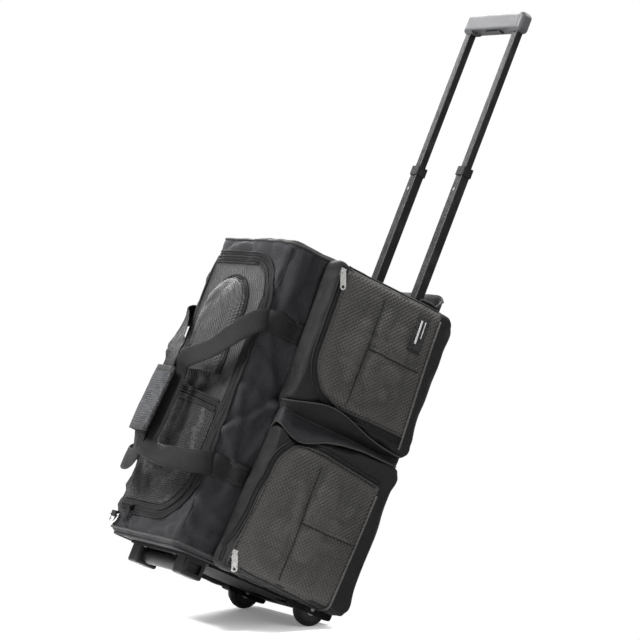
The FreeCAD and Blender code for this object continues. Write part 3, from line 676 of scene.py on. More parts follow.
def inflate(obj, pinned, limit, pressure=4.0, cap=5.0, growth=0.04, voxel=6.0):
    """Short cloth simulation of a filled, closed piece: it swells and wrinkles, at most cap mm."""
    modify(obj, "REMESH", mode="VOXEL", voxel_size=voxel / 1000)
    bake_modifiers(obj)
    start = [v.co.copy() for v in obj.data.vertices]
    group = obj.vertex_groups.new(name="held")
    group.add([i for i, co in enumerate(start) if pinned(co)], 1.0, "REPLACE")
    cloth_modifier = modify(obj, "CLOTH")
    settings = cloth_modifier.settings
    settings.use_pressure = True
    settings.uniform_pressure_force = pressure
    settings.shrink_min = -growth
    settings.vertex_group_mass = "held"
    settings.effector_weights.gravity = 0
    settings.quality = 5
    cloth_modifier.point_cache.frame_start = 1
    cloth_modifier.point_cache.frame_end = SWELL_FRAMES
    scene = bpy.context.scene
    for number in range(1, SWELL_FRAMES + 1):
        scene.frame_set(number)
        bpy.context.evaluated_depsgraph_get().update()
    evaluated = obj.evaluated_get(bpy.context.evaluated_depsgraph_get())
    ends = [v.co.copy() for v in evaluated.data.vertices]
    scene.frame_set(1)
    obj.modifiers.clear()
    obj.vertex_groups.clear()
    for vertex, a, b in zip(obj.data.vertices, start, ends):
        move = b - a
        if move.length > cap / 1000:
            move *= cap / 1000 / move.length
        vertex.co = limit(a + move)
    modify(obj, "SMOOTH", factor=0.5, iterations=2)
    modify(obj, "SUBSURF", levels=1, render_levels=1)
    bake_modifiers(obj)
    for polygon in obj.data.polygons:
        polygon.use_smooth = True
    return obj


# ---------------------------------------------------------------- body shell

SIDE_X0, SIDE_X1, FRONT_Y, BACK_Y, BASE_Z, TOP_Z = (
    extent("far_side_panel")[0], extent("near_side_panel")[1],
    extent("front_rim")[2], extent("back_panel")[3],
    extent("bottom_end_panel")[4], extent("top_end_panel")[5],
)
LID_X0, LID_X1, _, _, LID_Z0, LID_Z1 = extent("lid_panel")
LID_X1 += 7  # the cloth lid reaches a little nearer the corner than its plain solid
BODY_ROUND = 17  # radius along the body's edges
LID_ROUND = (92.0, 74.0)  # corner radii at the lid's lower and upper free corners


def rounded_right(x0, x1, z0, z1, radius, step=9):
    """Lid outline in x, z: square at the hinge side and round at the free side, anticlockwise."""
    below, above = radius
    low = [
        (x1 - below + below * math.cos(a), z0 + below + below * math.sin(a))
        for a in [math.radians(b) for b in range(-90, 1, step)]
    ]
    high = [
        (x1 - above + above * math.cos(a), z1 - above + above * math.sin(a))
        for a in [math.radians(b) for b in range(0, 91, step)]
    ]
    return [(x0, z0), *low, *high, (x0, z1)]


def prism(name, outline, y0, y1):
    n = len(outline)
    verts = [(x, y0, z) for x, z in outline] + [(x, y1, z) for x, z in outline]
    faces = [tuple(range(n)), tuple(range(2 * n - 1, n - 1, -1))]
    faces += [(k, (k + 1) % n, n + (k + 1) % n, n + k) for k in range(n)]
    return piece(name, verts, faces, "shell", body=None, smooth=False)


# folds on the bag's two sides: from and to in y, z, then reach and height
SIDE_FOLDS = (
    (-88, 322, -172, 236, 11, 5.0), (-90, 318, -174, 318, 13, 4.0), (-90, 322, -150, 410, 14, 4.0),
    (-86, 300, -128, 150, 12, 4.0), (-150, 582, -146, 470, 12, 3.5), (-118, 580, -124, 500, 12, -3.0),
    (-174, 122, -96, 92, 12, 4.5), (-170, 84, -100, 62, 10, 4.0), (-174, 250, -104, 178, 10, 3.0),
    (-168, 500, -104, 452, 12, 3.0), (-172, 400, -104, 372, 14, -3.0), (-150, 300, -118, 205, 10, -4.0),
)
FRONT_FOLDS = (
    (124, 560, 60, 584, 12, 3.5), (0, 578, -70, 560, 12, 3.0), (96, 70, 30, 52, 10, 4.0),
    (122, 96, 108, 50, 10, 4.0), (-40, 60, -104, 70, 10, 3.0), (120, 560, 122, 500, 9, -3.0),
)


def fold_height(u, v, folds):
    """Soft ridge with a valley on its lower side, along each segment."""
    total = 0.0
    for u0, v0, u1, v1, reach, height in folds:
        du, dv = u1 - u0, v1 - v0
        length = math.hypot(du, dv)
        f = ((u - u0) * du + (v - v0) * dv) / length ** 2
        d = ((u - u0) * dv - (v - v0) * du) / length / reach / 0.75
        if -0.2 < f < 1.2 and abs(d) < 3:
            fade = max(0.0, 1 - max(0.0, -f, f - 1) * 5) * (1 - 0.35 * min(max(f, 0.0), 1.0))
            total += 1.7 * height * fade * (math.exp(-d * d) - 0.8 * math.exp(-(d - 1.2) ** 2))
    return total


def shell_shape(p, outward):
    """Filled-out duffel: crowned faces, slack between the frame's ends, folds at the corners."""
    x, y, z = p
    s = (x - SIDE_X0) / (SIDE_X1 - SIDE_X0)
    t = (y - FRONT_Y) / (BACK_Y - FRONT_Y)
    h = (z - BASE_Z) / (TOP_Z - BASE_Z)
    lift = abs(outward.x) * 3.0 * dome(t, 3) * dome(h, 3)
    lift += max(0.0, -outward.y) * 3.0 * dome(s, 3) * dome(h, 3)
    lift += max(0.0, outward.z) * 5.0 * dome(s, 2) * dome(t, 2)
    soft = 1.0 if outward.z > -0.5 else 0.2
    lift += soft * rumple(p, 95, 4.0)
    lift += soft * crease(p, (70, 60, 150), 5.0, 3.1, 5)
    lift += soft * crease(p, (34, 30, 50), 2.4, 9.4, 6)
    wave = Vector(p) / 60
    calm = min(1.0, dome(h, 14) * 1.6)
    lift = lift * (0.35 + 0.65 * calm)
    beside_pockets = 1.0 if y < -84 else 0.3
    lift += beside_pockets * calm * abs(outward.x) * fold_height(
        y + 6 * noise.noise(wave), z + 10 * noise.noise(wave + Vector((4, 1, 9))), SIDE_FOLDS
    )
    if outward.y < 0:
        lift += -outward.y * calm * fold_height(x + 5 * noise.noise(wave), z, FRONT_FOLDS)
    if z > TOP_Z - 60 and y < -60 and x > 0:
        lift += 3.0 * near_line(z - TOP_Z, 30)
    if y > 60:
        lift = max(lift, -0.4)  # the stiff board and the handle's lining lie just inside
    return p + outward * lift


def build_shell():
    verts, faces = soft_box(
        (SIDE_X0, FRONT_Y, BASE_Z), (SIDE_X1, BACK_Y, TOP_Z), 7, BODY_ROUND, shell_shape
    )
    shell = piece("body_shell", verts, faces, "shell", body=None)
    modify(shell, "SOLIDIFY", thickness=0.0028, offset=-1)
    outline = rounded_right(LID_X0 - 1, LID_X1 + 1, LID_Z0 - 1, LID_Z1 + 1, LID_ROUND)
    hole = prism("lid_hole", outline, FRONT_Y - 40, FRONT_Y + 30)
    modify(shell, "BOOLEAN", operation="DIFFERENCE", object=hole, solver="EXACT")
    wells = []
    for sign, name in ((1, "near"), (-1, "far")):
        x0, x1, y0, y1, z0, z1 = extent(f"{name}_wheel_housing")
        a, b = (x0 - 0.4, x1 + 30) if sign > 0 else (x0 - 30, x1 + 0.4)
        outline = [(a, z0 - 60), (b, z0 - 60), (b, z1), (a, z1)]
        well = prism(f"{name}_well", outline, y0 - 0.4, y1 + 0.4)
        modify(shell, "BOOLEAN", operation="DIFFERENCE", object=well, solver="EXACT")
        wells.append(well)
    bx0, bx1, by0, by1, _, bz1 = extent("handle_bezel")
    mouth = [(bx0 + 5, by0 + 5), (bx1 - 5, by0 + 5), (bx1 - 5, by1 - 5), (bx0 + 5, by1 - 5)]
    well = piece(
        "handle_mouth", [(x, y, z) for z in (TOP_Z - 25, bz1 + 30) for x, y in mouth],
        [(0, 1, 2, 3), (7, 6, 5, 4), (0, 4, 5, 1), (1, 5, 6, 2), (2, 6, 7, 3), (3, 7, 4, 0)],
        "shell", body=None, smooth=False,
    )
    modify(shell, "BOOLEAN", operation="DIFFERENCE", object=well, solver="EXACT")
    wells.append(well)
    bake_modifiers(shell)
    for tool in (hole, *wells):
        bpy.data.objects.remove(tool)
    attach(shell, "bag")
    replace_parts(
        shell, "near_side_panel", "far_side_panel", "top_end_panel", "bottom_end_panel",
        "back_panel", "front_rim",
    )
    return shell


def rounded_loop(x0, x1, y0, y1, radius, step=10):
    """Rounded rectangle in x, y as (x, y, outward normal)."""
    points = []
    corners = ((x1 - radius, y0 + radius, -90), (x1 - radius, y1 - radius, 0),
               (x0 + radius, y1 - radius, 90), (x0 + radius, y0 + radius, 180))
    for cx, cy, start in corners:
        for a in range(0, 91, step):
            r = math.radians(start + a)
            nx, ny = math.cos(r), math.sin(r)
            points.append((cx + radius * nx, cy + radius * ny, nx, ny))
    return points


def ring_piping(name, tree, z, radius, material, lift=1.0):
    """Piping sewn round the bag at one height."""
    corner = rounded_loop(SIDE_X0, SIDE_X1, FRONT_Y, BACK_Y, BODY_ROUND)
    path, normals = [], []
    for a, b in zip(corner, corner[1:] + corner[:1]):
        count = max(1, round(math.hypot(b[0] - a[0], b[1] - a[1]) / 10))
        for q in range(count):
            x, y, nx, ny = (p + (r - p) * q / count for p, r in zip(a, b))
            outward = Vector((nx, ny, 0)).normalized()
            path.append(drop(tree, (x, y, z), -outward, lift)[0])
            normals.append(outward)
    return sweep(name, path, normals, circle(radius), material, closed=True)


def seam(name, tree, points, inward, profile, material, lift=0.2, step=6.0, body="bag",
         deepest=None):
    """Sewn line laid on a surface through the given points, at most deepest mm past them."""
    inward = Vector(inward).normalized()
    path, normals = [], []
    for p in smooth_path(points, step):
        hit, normal = drop(tree, tuple(p), inward, lift)
        past = (Vector(hit) - p).dot(inward)
        if deepest is not None and past > deepest:
            hit = tuple(Vector(hit) - inward * (past - deepest))
        path.append(hit)
        normals.append((-inward * 0.4 + normal * 0.6).normalized())
    if deepest is not None:
        for _ in range(2):
            path = [path[0], *[
                tuple((Vector(a) + 2 * Vector(b) + Vector(c)) / 4)
                for a, b, c in zip(path, path[1:], path[2:])
            ], path[-1]]
    return sweep(name, path, normals, profile, material, body)


# ---------------------------------------------------------------- side pockets

PANEL_CORNER = {"upper": 74.0, "lower": 53.0}
PANEL_Y = (-70.0, 128.0)
PANEL_Z = {"upper": (354.0, 575.0), "lower": (42.0, 272.0)}
ZIP_OFFSET = 6.8  # from the panel's edge to the middle of its zip band
PANEL_SEAM_Y = 12.0  # the sewn line down each panel
SLIT_AT = {"upper": 0.505, "lower": 0.475}  # height of the slip pocket's mouth, as a share


def sag(level, y):
    """How far the lower panel's top and bottom edges fall towards the back."""
    if level == "upper":
        return 0.0, 0.0
    return 14 * max(0.0, (y + 13) / 147), 8 * max(0.0, (y + 71) / 192)


def pocket_warp(level, y, z, z0, z1):
    """The two pockets draw away from each other in the middle, where the bag folds, and sag."""
    if level == "upper":
        return 28 * max(0.0, 1 - (z - z0) / 90) * near_line(y + 5, 80)
    weight = max(0.0, 1 - (z1 - z) / 90)
    return weight * (6 * min(1.0, max(0.0, (y - 20) / 60)) - 24 * near_line(y + 46, 46))


# a pocket's front edge at its bottom and top, against its plain solid
FRONT_LEAN = {"upper": (-3, -9), "lower": (-11, 1)}
# corner radii seen from the side: (front bottom, front top, back bottom, back top)
CORNERS = {"upper": (4, 10, 22, 38), "lower": (10, 5, 24, 28)}


def round_corners(y, z, y0, y1, z0, z1, radii):
    """Moves a point of a rectangle to the same rectangle with round corners."""
    for cy, cz, sy, sz, r in (
        (y0, z0, -1, -1, radii[0]), (y0, z1, -1, 1, radii[1]),
        (y1, z0, 1, -1, radii[2]), (y1, z1, 1, 1, radii[3]),
    ):
        v = (y - (cy - sy * r)) * sy
        w = (z - (cz - sz * r)) * sz
        if v > 0 and w > 0:
            k = max(v, w) / math.hypot(v, w)
            return cy - sy * r + sy * v * k, cz - sz * r + sz * w * k
    return y, z


def panel_outline(level):
    """Rows (z, y0, y1) of a pocket's lighter front panel, with its one round corner."""
    (y0, y1), (z0, z1) = PANEL_Y, PANEL_Z[level]
    rows, count = [], 34
    for k in range(count + 1):
        w = k / count
        z = z0 + (z1 - z0) * w
        from_round = z - z0 if level == "upper" else z1 - z
        left = y0 - (5 * w ** 2 if level == "upper" else 22 * (1 - w) ** 1.2)
        corner = PANEL_CORNER[level]
        if from_round < corner:
            left += corner - math.sqrt(corner ** 2 - (corner - from_round) ** 2)
        right = y1 + (12 * (1 - w) ** 2 if level == "upper" else 10 * w - 6)
        rows.append((z, left, right))
    return rows


def pocket_cloth(name, sign, level):
    """The swelled body of a side pocket, with the coordinate of its face and its search tree."""
    x0, x1, y0, y1, z0, z1 = extent(f"{name}_{level}_pocket")
    low = (SIDE_X1 - 4, y0, z0) if sign > 0 else (x0, y0, z0)
    high = (x1, y1, z1) if sign > 0 else (SIDE_X0 + 4, y1, z1)
    root, face_x = (SIDE_X1, x1) if sign > 0 else (SIDE_X0, x0)
    seed = pocket_seed(level, sign)

    def shape(p, outward):
        x, y, z = p
        t, h = (y - y0) / (y1 - y0), (z - z0) / (z1 - z0)
        reach = abs(x - root) / 38
        lift = max(0.0, sign * outward.x) * 2.5 * dome(t, 2.5) * dome(h, 2.5)
        lift += (rumple(p, 60, 2.2, seed) + crease(p, (50, 60, 60), 2.2, seed)) * min(1.0, reach + 0.3)
        q = p + outward * lift
        q.y, q.z = round_corners(q.y, q.z, y0, y1, z0, z1, CORNERS[level])
        bottom, top = FRONT_LEAN[level]
        q.y += (bottom + (top - bottom) * h) * (1 - t) ** 2 - 7 * t ** 2
        q.z += pocket_warp(level, y, z, z0, z1) * min(1.0, 0.25 + reach)
        if level == "lower":
            q.z -= (3 if sign > 0 else 11) * max(0.0, 1 - h * 4) * dome(t, 4)
        return q

    verts, faces = soft_box(low, high, 10, 11, shape)
    # the pocket's body takes the darker copy of the black cloth: painted shade where its fronts face the key
    # light
    body = piece(f"{name}_{level}_pocket_cloth", verts, faces, "shaded_black", body=None)
    held_x = sign * root / 1000 + 0.006

    def limit(co):
        t = ((co.y * 1000 - SHIFT) - y0) / (y1 - y0)
        h = (co.z * 1000 - z0) / (z1 - z0)
        most = sign * face_x / 1000 - 0.0015 + 0.003 * dome(t, 2) * dome(h, 2)
        co.x = sign * min(sign * co.x, most)
        return co

    inflate(body, lambda co: sign * co.x < held_x, limit)
    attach(body, "bag")
    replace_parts(body, f"{name}_{level}_pocket", f"{name}_{level}_pocket_panel")
    return face_x, surface_of(body)


def pocket_seed(level, sign):
    return {"upper": 1.7, "lower": 6.2}[level] + (0 if sign > 0 else 11)


def seam_y(level, z):
    low, high = PANEL_Z[level]
    return PANEL_SEAM_Y + (z - low) / (high - low) * -2.0


def slit_z(level):
    low, high = PANEL_Z[level]
    return low + (high - low) * SLIT_AT[level]


def pocket_panel(name, sign, level, face_x, base):
    """The lighter panel: a puffed sheet on the pocket's face."""
    rows, columns = panel_outline(level), 36
    seed, inward = pocket_seed(level, sign), Vector((-sign, 0, 0))
    grid = []
    for r, (row_z, left, right) in enumerate(rows):
        line = []
        for c in range(columns + 1):
            z = row_z
            y = left + (right - left) * c / columns
            u, w = c / columns, r / (len(rows) - 1)
            puff = 5.5 * dome(u, 2) * dome(w, 2.5)
            puff *= 1 - 0.55 * near_line(y - seam_y(level, z), 9)
            if y > seam_y(level, z):
                puff *= 1 - 0.35 * near_line(z - slit_z(level), 7)
            puff += crease((face_x, y, z), (40, 34, 60), 2.6, seed + 4, 5) * dome(u, 6) * dome(w, 6)
            puff += crease((face_x, y, z), (40, 70, 26), 1.8, seed + 7, 6) * dome(u, 6) * dome(w, 6)
            top_fall, low_fall = sag(level, y)
            z = z - top_fall * w ** 2 - low_fall * (1 - w) ** 2
            on_edge = r in (0, len(rows) - 1) or c in (0, columns)
            hit, _ = drop(base, (face_x, y, z), inward, 0.0)
            line.append((hit[0] + sign * ((0.6 if on_edge else 1.3) + puff), y, z))
        grid.append(line)
    return closed_sheet(
        f"{name}_{level}_panel_cloth", grid, (-sign * 1.6, 0, 0), "dobby"
    )


def beside(run, offset, centre):
    """The run moved by offset in its y, z plane, away from the centre."""
    moved = []
    for k, p in enumerate(run):
        d = (run[min(k + 1, len(run) - 1)] - run[max(k - 1, 0)]).normalized()
        away = Vector((0, -d.z, d.y))
        if away.dot(Vector((0, p.y - centre[0], p.z - centre[1]))) < 0:
            away = -away
        moved.append(tuple(p + away * offset))
    return moved


def build_pocket(name, sign, level):
    face_x, base = pocket_cloth(name, sign, level)
    panel = pocket_panel(name, sign, level, face_x, base)
    on_panel = surface_of(panel)
    rows = panel_outline(level)
    tag, inward, upper = f"{name}_{level}", Vector((-sign, 0, 0)), level == "upper"
    front = [(face_x, row[1], row[0]) for row in rows]
    turn_z, turn_end = (rows[0] if upper else rows[-1])[::2]
    # zip band beside the panel: down the front edge and along the rounded corner's edge
    turn = [(face_x, y, turn_z - sag(level, y)[0]) for y in (0, 60, turn_end - 4)]
    if upper:
        run = turn[::-1] + front[:12:2] + front[12::5]
    else:
        run = front[:-12:5] + front[-12::2] + turn
    run = smooth_path(run, 7)
    band = beside(run, ZIP_OFFSET, (20.0, (rows[0][0] + rows[-1][0]) / 2))
    profile = ridges(14, 0.5, [(-5.4, 1.4, 1.5), (0, 2.1, 1.4), (5.4, 1.4, 1.5)])
    seam(f"{tag}_zip_band", base, band, inward, profile, "zip", 0.2, 7)
    seam(f"{tag}_zip_piping", base, run, inward, circle(1.5), "piping", 1.6, 7)
    # piping on the other two sides
    drop_top = 0 if upper else 14
    back = [(face_x, row[2] + 1, row[0] - drop_top * (k / 4) ** 2) for k, row in enumerate(rows[::8])]
    back[0] = (face_x, rows[0][2] + 1, rows[0][0] - (22 if upper else 8))
    seam(f"{tag}_side_piping", base, back, inward, circle(1.9), "grey_piping", 1.4, 7)
    end_z = rows[-1][0] + 1.5 if upper else rows[0][0] - 1.5
    start = (rows[-1] if upper else rows[0])[1]
    end = [(face_x, y, end_z - sag(level, y)[1]) for y in (start, -30, 30, 80, 124)]
    seam(f"{tag}_end_piping", base, end, inward, circle(1.3), "piping", 1.2, 7)
    # sewn line on the panel, and at the slip pocket's mouth a dark strip under a raised lip, a painted
    # shadow of the lip
    down = [(face_x, seam_y(level, z), z) for z, _, _ in rows[1:-1:3]]
    slit = slit_z(level)
    mouth = [(face_x, seam_y(level, slit) + 1, slit), (face_x, 70, slit - 1), (face_x, 123, slit)]
    lip = [(x, y, z + 3.2) for x, y, z in mouth]
    for part, line, profile, material, lift, step in (
        ("panel_seam", down, circle(1.0), "thread", 0.3, 8),
        ("slip_mouth_shadow", mouth, flat_band(3.2, 1.0), "thread", 0.4, 7),
        ("slip_lip", lip, flat_band(5.0, 1.0), "dobby", 0.6, 7),
    ):
        seam(f"{tag}_{part}", on_panel, line, inward, profile, material, lift, step)
    return panel


def build_fold(name, sign):
    """Cloth of the deep fold between a side's two pockets: two sheets that meet in a valley."""
    _, x1, _, _, upper_low, upper_high = extent("near_upper_pocket")
    lower_low, lower_high = extent("near_lower_pocket")[4:]
    stop, columns = 150.0, 10
    edge_x, deep, valley_z = x1 - 2.5, 25.0, 315.5
    # from the body outwards across the pockets' fronts, then back along their outer edges
    across = [(SIDE_X1 - 3, -88), (SIDE_X1 + 9, -91), (SIDE_X1 + 20, -94), (edge_x - 5, -96), (edge_x, -91)]
    run = smooth_path([(x, y, 0) for x, y in across] + [(edge_x, y, 0) for y in range(-80, 151, 10)], 5)
    lines = {"upper": [], "valley": [], "lower": []}
    for q in run:
        x, y, _ = q
        depth = deep * max(0.0, min(1.0, (y + 95) / 30, 0.2 + (stop - y) / 40)) if x > edge_x - 2 else 0.0
        top = upper_low + 2.5 + pocket_warp("upper", y, upper_low, upper_low, upper_high)
        low = lower_high - 2.5 + pocket_warp("lower", y, lower_high, lower_low, lower_high)
        low -= 13 * max(0.0, 1 - (x - SIDE_X1) / 26)
        lines["upper"].append(Vector((x, y, top)))
        lines["valley"].append(Vector((x - depth, y + 3, valley_z)))
        lines["lower"].append(Vector((x, y, low)))
    # the upper sheet faces down and takes the darker copy of the cloth as painted shade; the lower, facing
    # up, takes the plain shell cloth
    for tag, material in (("upper", "shaded_black"), ("lower", "shell")):
        grid = []
        for a, b in zip(lines[tag], lines["valley"]):
            row = []
            for c in range(columns + 1):
                f = c / columns
                q = a.lerp(b, f)
                q.x += 3.0 * math.sin(math.pi * f) * min(1.0, (a - b).length / deep - 0.3)
                q.x += crease(q, (30, 44, 30), 2.5, 5.0, 4) * dome(f, 2)
                row.append((sign * q.x, q.y, q.z))
            grid.append(row)
        closed_sheet(f"{name}_fold_{tag}", grid, (-sign * 1.6, 0, 0), material)
    for tag, radius in (("upper", 1.4), ("valley", 0.9), ("lower", 1.4)):
        path = [(sign * (q.x + 0.8), q.y - 0.6, q.z) for q in lines[tag]]
        normals = [(0, 0, 1)] * len(path)
        sweep(f"{name}_fold_{tag}_piping", path, normals, circle(radius), "piping")


def build_label(panel):
    """Plain label on the near upper pocket, with light woven bars."""
    _, x1, y0, y1, z0, z1 = extent("blank_label")
    tree = surface_of(panel)
    rows, columns = 12, 6
    grid = []
    for r in range(rows + 1):
        z = z0 + (z1 - z0) * r / rows
        ys = [y0 + (y1 - y0) * c / columns for c in range(columns + 1)]
        grid.append([(drop(tree, (x1, y, z), Vector((-1, 0, 0)))[0][0] + 1.2, y, z) for y in ys])
    label = closed_sheet("woven_label", grid, (-1.0, 0, 0), "label")
    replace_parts(label, "blank_label")
    on_label = surface_of(label)
    for k, (ya, wide, length) in enumerate(((9, 3.6, 42), (17, 1.8, 30))):
        points = [(x1, y0 + ya, z1 - 10), (x1, y0 + ya, z1 - 10 - length)]
        profile = flat_band(wide, 0.7, 0.2)
        seam(f"label_bar_{k}", on_label, points, (-1, 0, 0), profile, "light_bar", 0.5, 6)


# ---------------------------------------------------------------- lid


def lid_rows(x0, x1, z0, z1, radius, count):
    rows = []
    for k in range(count + 1):
        z = z0 + (z1 - z0) * k / count
        right = x1
        for gap, turn in ((z - z0, radius[0]), (z1 - z, radius[1])):
            if gap < turn:
                right = min(right, x1 - turn + math.sqrt(turn ** 2 - (turn - gap) ** 2))
        rows.append((z, x0, right))
    return rows


def sheet_from_rows(name, rows, columns, height, thick, material, body, slope=0.0):
    """Thin closed sheet facing -Y: height(x, z, u, w) is its outer y; its top edge falls by slope."""
    grid = []
    for r, (z, left, right) in enumerate(rows):
        line, w = [], r / (len(rows) - 1)
        for c in range(columns + 1):
            u = c / columns
            x = left + (right - left) * u
            line.append((x, height(x, z, u, w), z - slope * (x - left) * w ** 3))
        grid.append(line)
    return closed_sheet(name, grid, (0, thick, 0), material, body)


NET_SLOPE = 0.15  # the net's gathered edge falls towards the free side
NET_OVER = 15  # the gathered edge stands this far above the net's plain solid
LID_MIDDLE = 330.0  # height where the lid's cloth is pinched between pouch and net


def build_lid():
    def height(x, z, u, w):
        bulge = 8.5 * dome(u, 2.5) * dome(w, 3) * (1 - 0.5 * min(1.0, max(0.0, (LID_MIDDLE - z) / 40)))
        bulge += crease((x, 0, z), (60, 50, 50), 3.0, 2.2, 5) * dome(w, 6) * dome(u, 5)
        gathers = 2.2 * math.sin(x / 7.5) * dome(u, 6) + crease((x, 0, z), (14, 20, 30), 3.0, 5.5, 4)
        bulge += near_line(z - 322, 26) * gathers
        return FRONT_Y - 0.5 - bulge

    rows = lid_rows(LID_X0 + 0.5, LID_X1 - 0.5, LID_Z0 + 0.5, LID_Z1 - 0.5, LID_ROUND, 60)
    cloth_piece = sheet_from_rows("lid_cloth", rows, 34, height, 2.6, "lid", "lid")
    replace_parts(cloth_piece, "lid_panel")
    tree = surface_of(cloth_piece)

    # binding round the lid's free edge
    radii = [r - 3 for r in LID_ROUND]
    outline = rounded_right(LID_X0 + 3, LID_X1 - 3.5, LID_Z0 + 3.5, LID_Z1 - 3.5, radii)
    edge = [(x, FRONT_Y, z) for x, z in outline]
    profile = ridges(9, 0.5, [(-3, 1.5, 1.6), (1.5, 1.8, 0.9)])
    seam("lid_binding", tree, edge, (0, 1, 0), profile, "zip", 0.2, 7, body="lid")
    build_net(tree)
    build_pouch(tree)


def build_net(tree):
    """Open net pocket on the lid, its gathered top edge held by two elastics."""
    mx0, mx1, my0, _, mz0, mz1 = extent("lid_mesh_pocket")
    net_top = mz1 + NET_OVER
    net_rows = [
        (z, mx0, min(mx1, right - 4))
        for z, _, right in lid_rows(mx0, LID_X1 - 6, mz0 - 2, mz1 + 400, LID_ROUND, 190)
        if mz0 <= z <= net_top
    ]

    def net_height(x, z, u, w):
        puff = 9.5 * dome(u, 3) * min(1.0, w * 3) * (1 - 0.15 * w)
        puff += near_line(z - net_top, 40) * 1.4 * math.sin(x / 5.2) * dome(u, 5)
        puff += crease((x, 0, z), (30, 30, 70), 2.0, 8.8, 5) * dome(u, 6)
        hit, _ = drop(tree, (x, FRONT_Y, z - NET_SLOPE * (x - mx0) * w ** 3), Vector((0, 1, 0)))
        return hit[1] - 2.2 - max(0.0, puff)

    net = sheet_from_rows(
        "lid_net", net_rows, 34, net_height, 1.2, "net", "lid", NET_SLOPE
    )
    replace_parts(net, "lid_mesh_pocket")
    net_tree = surface_of(net)
    for k, (below, wide) in enumerate(((3.0, 13.0), (18.0, 9.0))):
        edge_x = (mx0 + 2, mx0 + 30, -30, 10, 50, mx1 - 2)
        line = [(x, my0, net_top - below - NET_SLOPE * (x - mx0) * (1 - 0.15 * k)) for x in edge_x]
        band = ridges(wide, 0.6, [(-wide * 0.3, 1.8, 1.8), (wide * 0.05, 1.6, 1.2), (wide * 0.34, 1.6, 1.6)])
        seam(
            f"net_elastic_{k}", net_tree, line, (0, 1, 0), band, "webbing", 0.3, 5,
            body="lid", deepest=14,
        )


def build_pouch(tree):
    """Arched zipped pouch on the lid."""
    px0, px1, _, _, pz0, pz1 = extent("lid_pouch")
    arch, count = [], 26
    half, middle = (px1 - px0) / 2 + 6, -5.0
    for k in range(count + 1):
        z = pz0 + (pz1 - pz0) * k / count
        gap = pz1 - z
        reach = half
        if gap < half:
            reach = math.sqrt(max(0.0, half ** 2 - (half - gap) ** 2))
        arch.append((z, middle - max(reach, 2.0), middle + max(reach, 2.0)))

    def pouch_height(x, z, u, w):
        puff = 21 * (dome(u, 3.2) ** 0.6) * (dome(0.12 + w * 0.88, 3) ** 0.6)
        puff += crease((x, 0, z), (26, 30, 40), 3.6, 1.3, 4) * dome(u, 5) * dome(w, 5)
        return FRONT_Y - 7.0 * dome(0.5 + (u - 0.5) * 0.7, 3) - puff

    pouch = sheet_from_rows("lid_pouch_cloth", arch, 26, pouch_height, 2.0, "lid", "lid")
    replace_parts(pouch, "lid_pouch")
    angles = [math.radians(a) for a in range(0, 181, 12)]
    rim = [(middle + half + 1, FRONT_Y, pz0), (middle + half + 1, FRONT_Y, (pz0 + pz1) / 2)]
    rim += [
        (middle + (half + 1) * math.cos(a), FRONT_Y, pz1 - half + (half + 1) * math.sin(a)) for a in angles
    ]
    rim += [(middle - half - 1, FRONT_Y, (pz0 + pz1) / 2), (middle - half - 1, FRONT_Y, pz0)]
    profile = ridges(11, 1.2, [(-4, 1.5, 1.6), (0, 1.9, 2.2), (4, 1.5, 1.6)])
    seam("pouch_zip_band", tree, rim, (0, 1, 0), profile, "zip", 0.4, 6, body="lid")


def build_main_zip(shell_tree):
    """Zip tape and outer fold round the lid's three free sides, on the bag."""
    grow = 7.5
    radii = [r + grow for r in LID_ROUND]
    outline = rounded_right(LID_X0 - 0.5, LID_X1 + grow, LID_Z0 - grow, LID_Z1 + grow, radii, 6)
    edge = [(x, FRONT_Y, z) for x, z in outline]
    profile = ridges(17, 0.6, [(-7, 1.4, 1.2), (-2.4, 2.0, 1.8), (2.6, 1.5, 1.3), (7, 1.6, 2.2)])
    band = seam(
        "main_zip_band", shell_tree, edge, (0, 1, 0), profile, "zip", 0.4, 7, deepest=4
    )
    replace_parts(band, "main_zip")
    hinge = [(LID_X0 - 2, FRONT_Y, z) for z in (LID_Z0 - 6, 200, 314, 430, LID_Z1 + 6)]
    seam("lid_fold_piping", shell_tree, hinge, (0, 1, 0), circle(1.8), "piping", 0.9, 8)


# ---------------------------------------------------------------- straps and wrap


STRAP_WIDE = 38
TAIL_Z = {"upper": 441, "lower": 185}


def strap(name, points, normals, body, replaced):
    """Webbing band along a smooth path, with a given facing at each point."""
    path = smooth_path(points, 7)
    # spread the facings along the path by the same fractions
    marks, total = [0.0], 0.0
    for a, b in zip(points, points[1:]):
        total += (Vector(b) - Vector(a)).length
        marks.append(total)
    lengths, run = [0.0], 0.0
    for a, b in zip(path, path[1:]):
        run += (b - a).length
        lengths.append(run)
    result = []
    for value in lengths:
        at = value / run * total
        k = max(i for i, m in enumerate(marks) if m <= at + 1e-9)
        k = min(k, len(points) - 2)
        f = (at - marks[k]) / (marks[k + 1] - marks[k])
        f = f * f * (3 - 2 * f)
        result.append(Vector(normals[k]).lerp(Vector(normals[k + 1]), f).normalized())
    profile = flat_band(STRAP_WIDE, 2.6, crown=0.6)
    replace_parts(sweep(name, path, result, profile, "webbing", body), replaced)


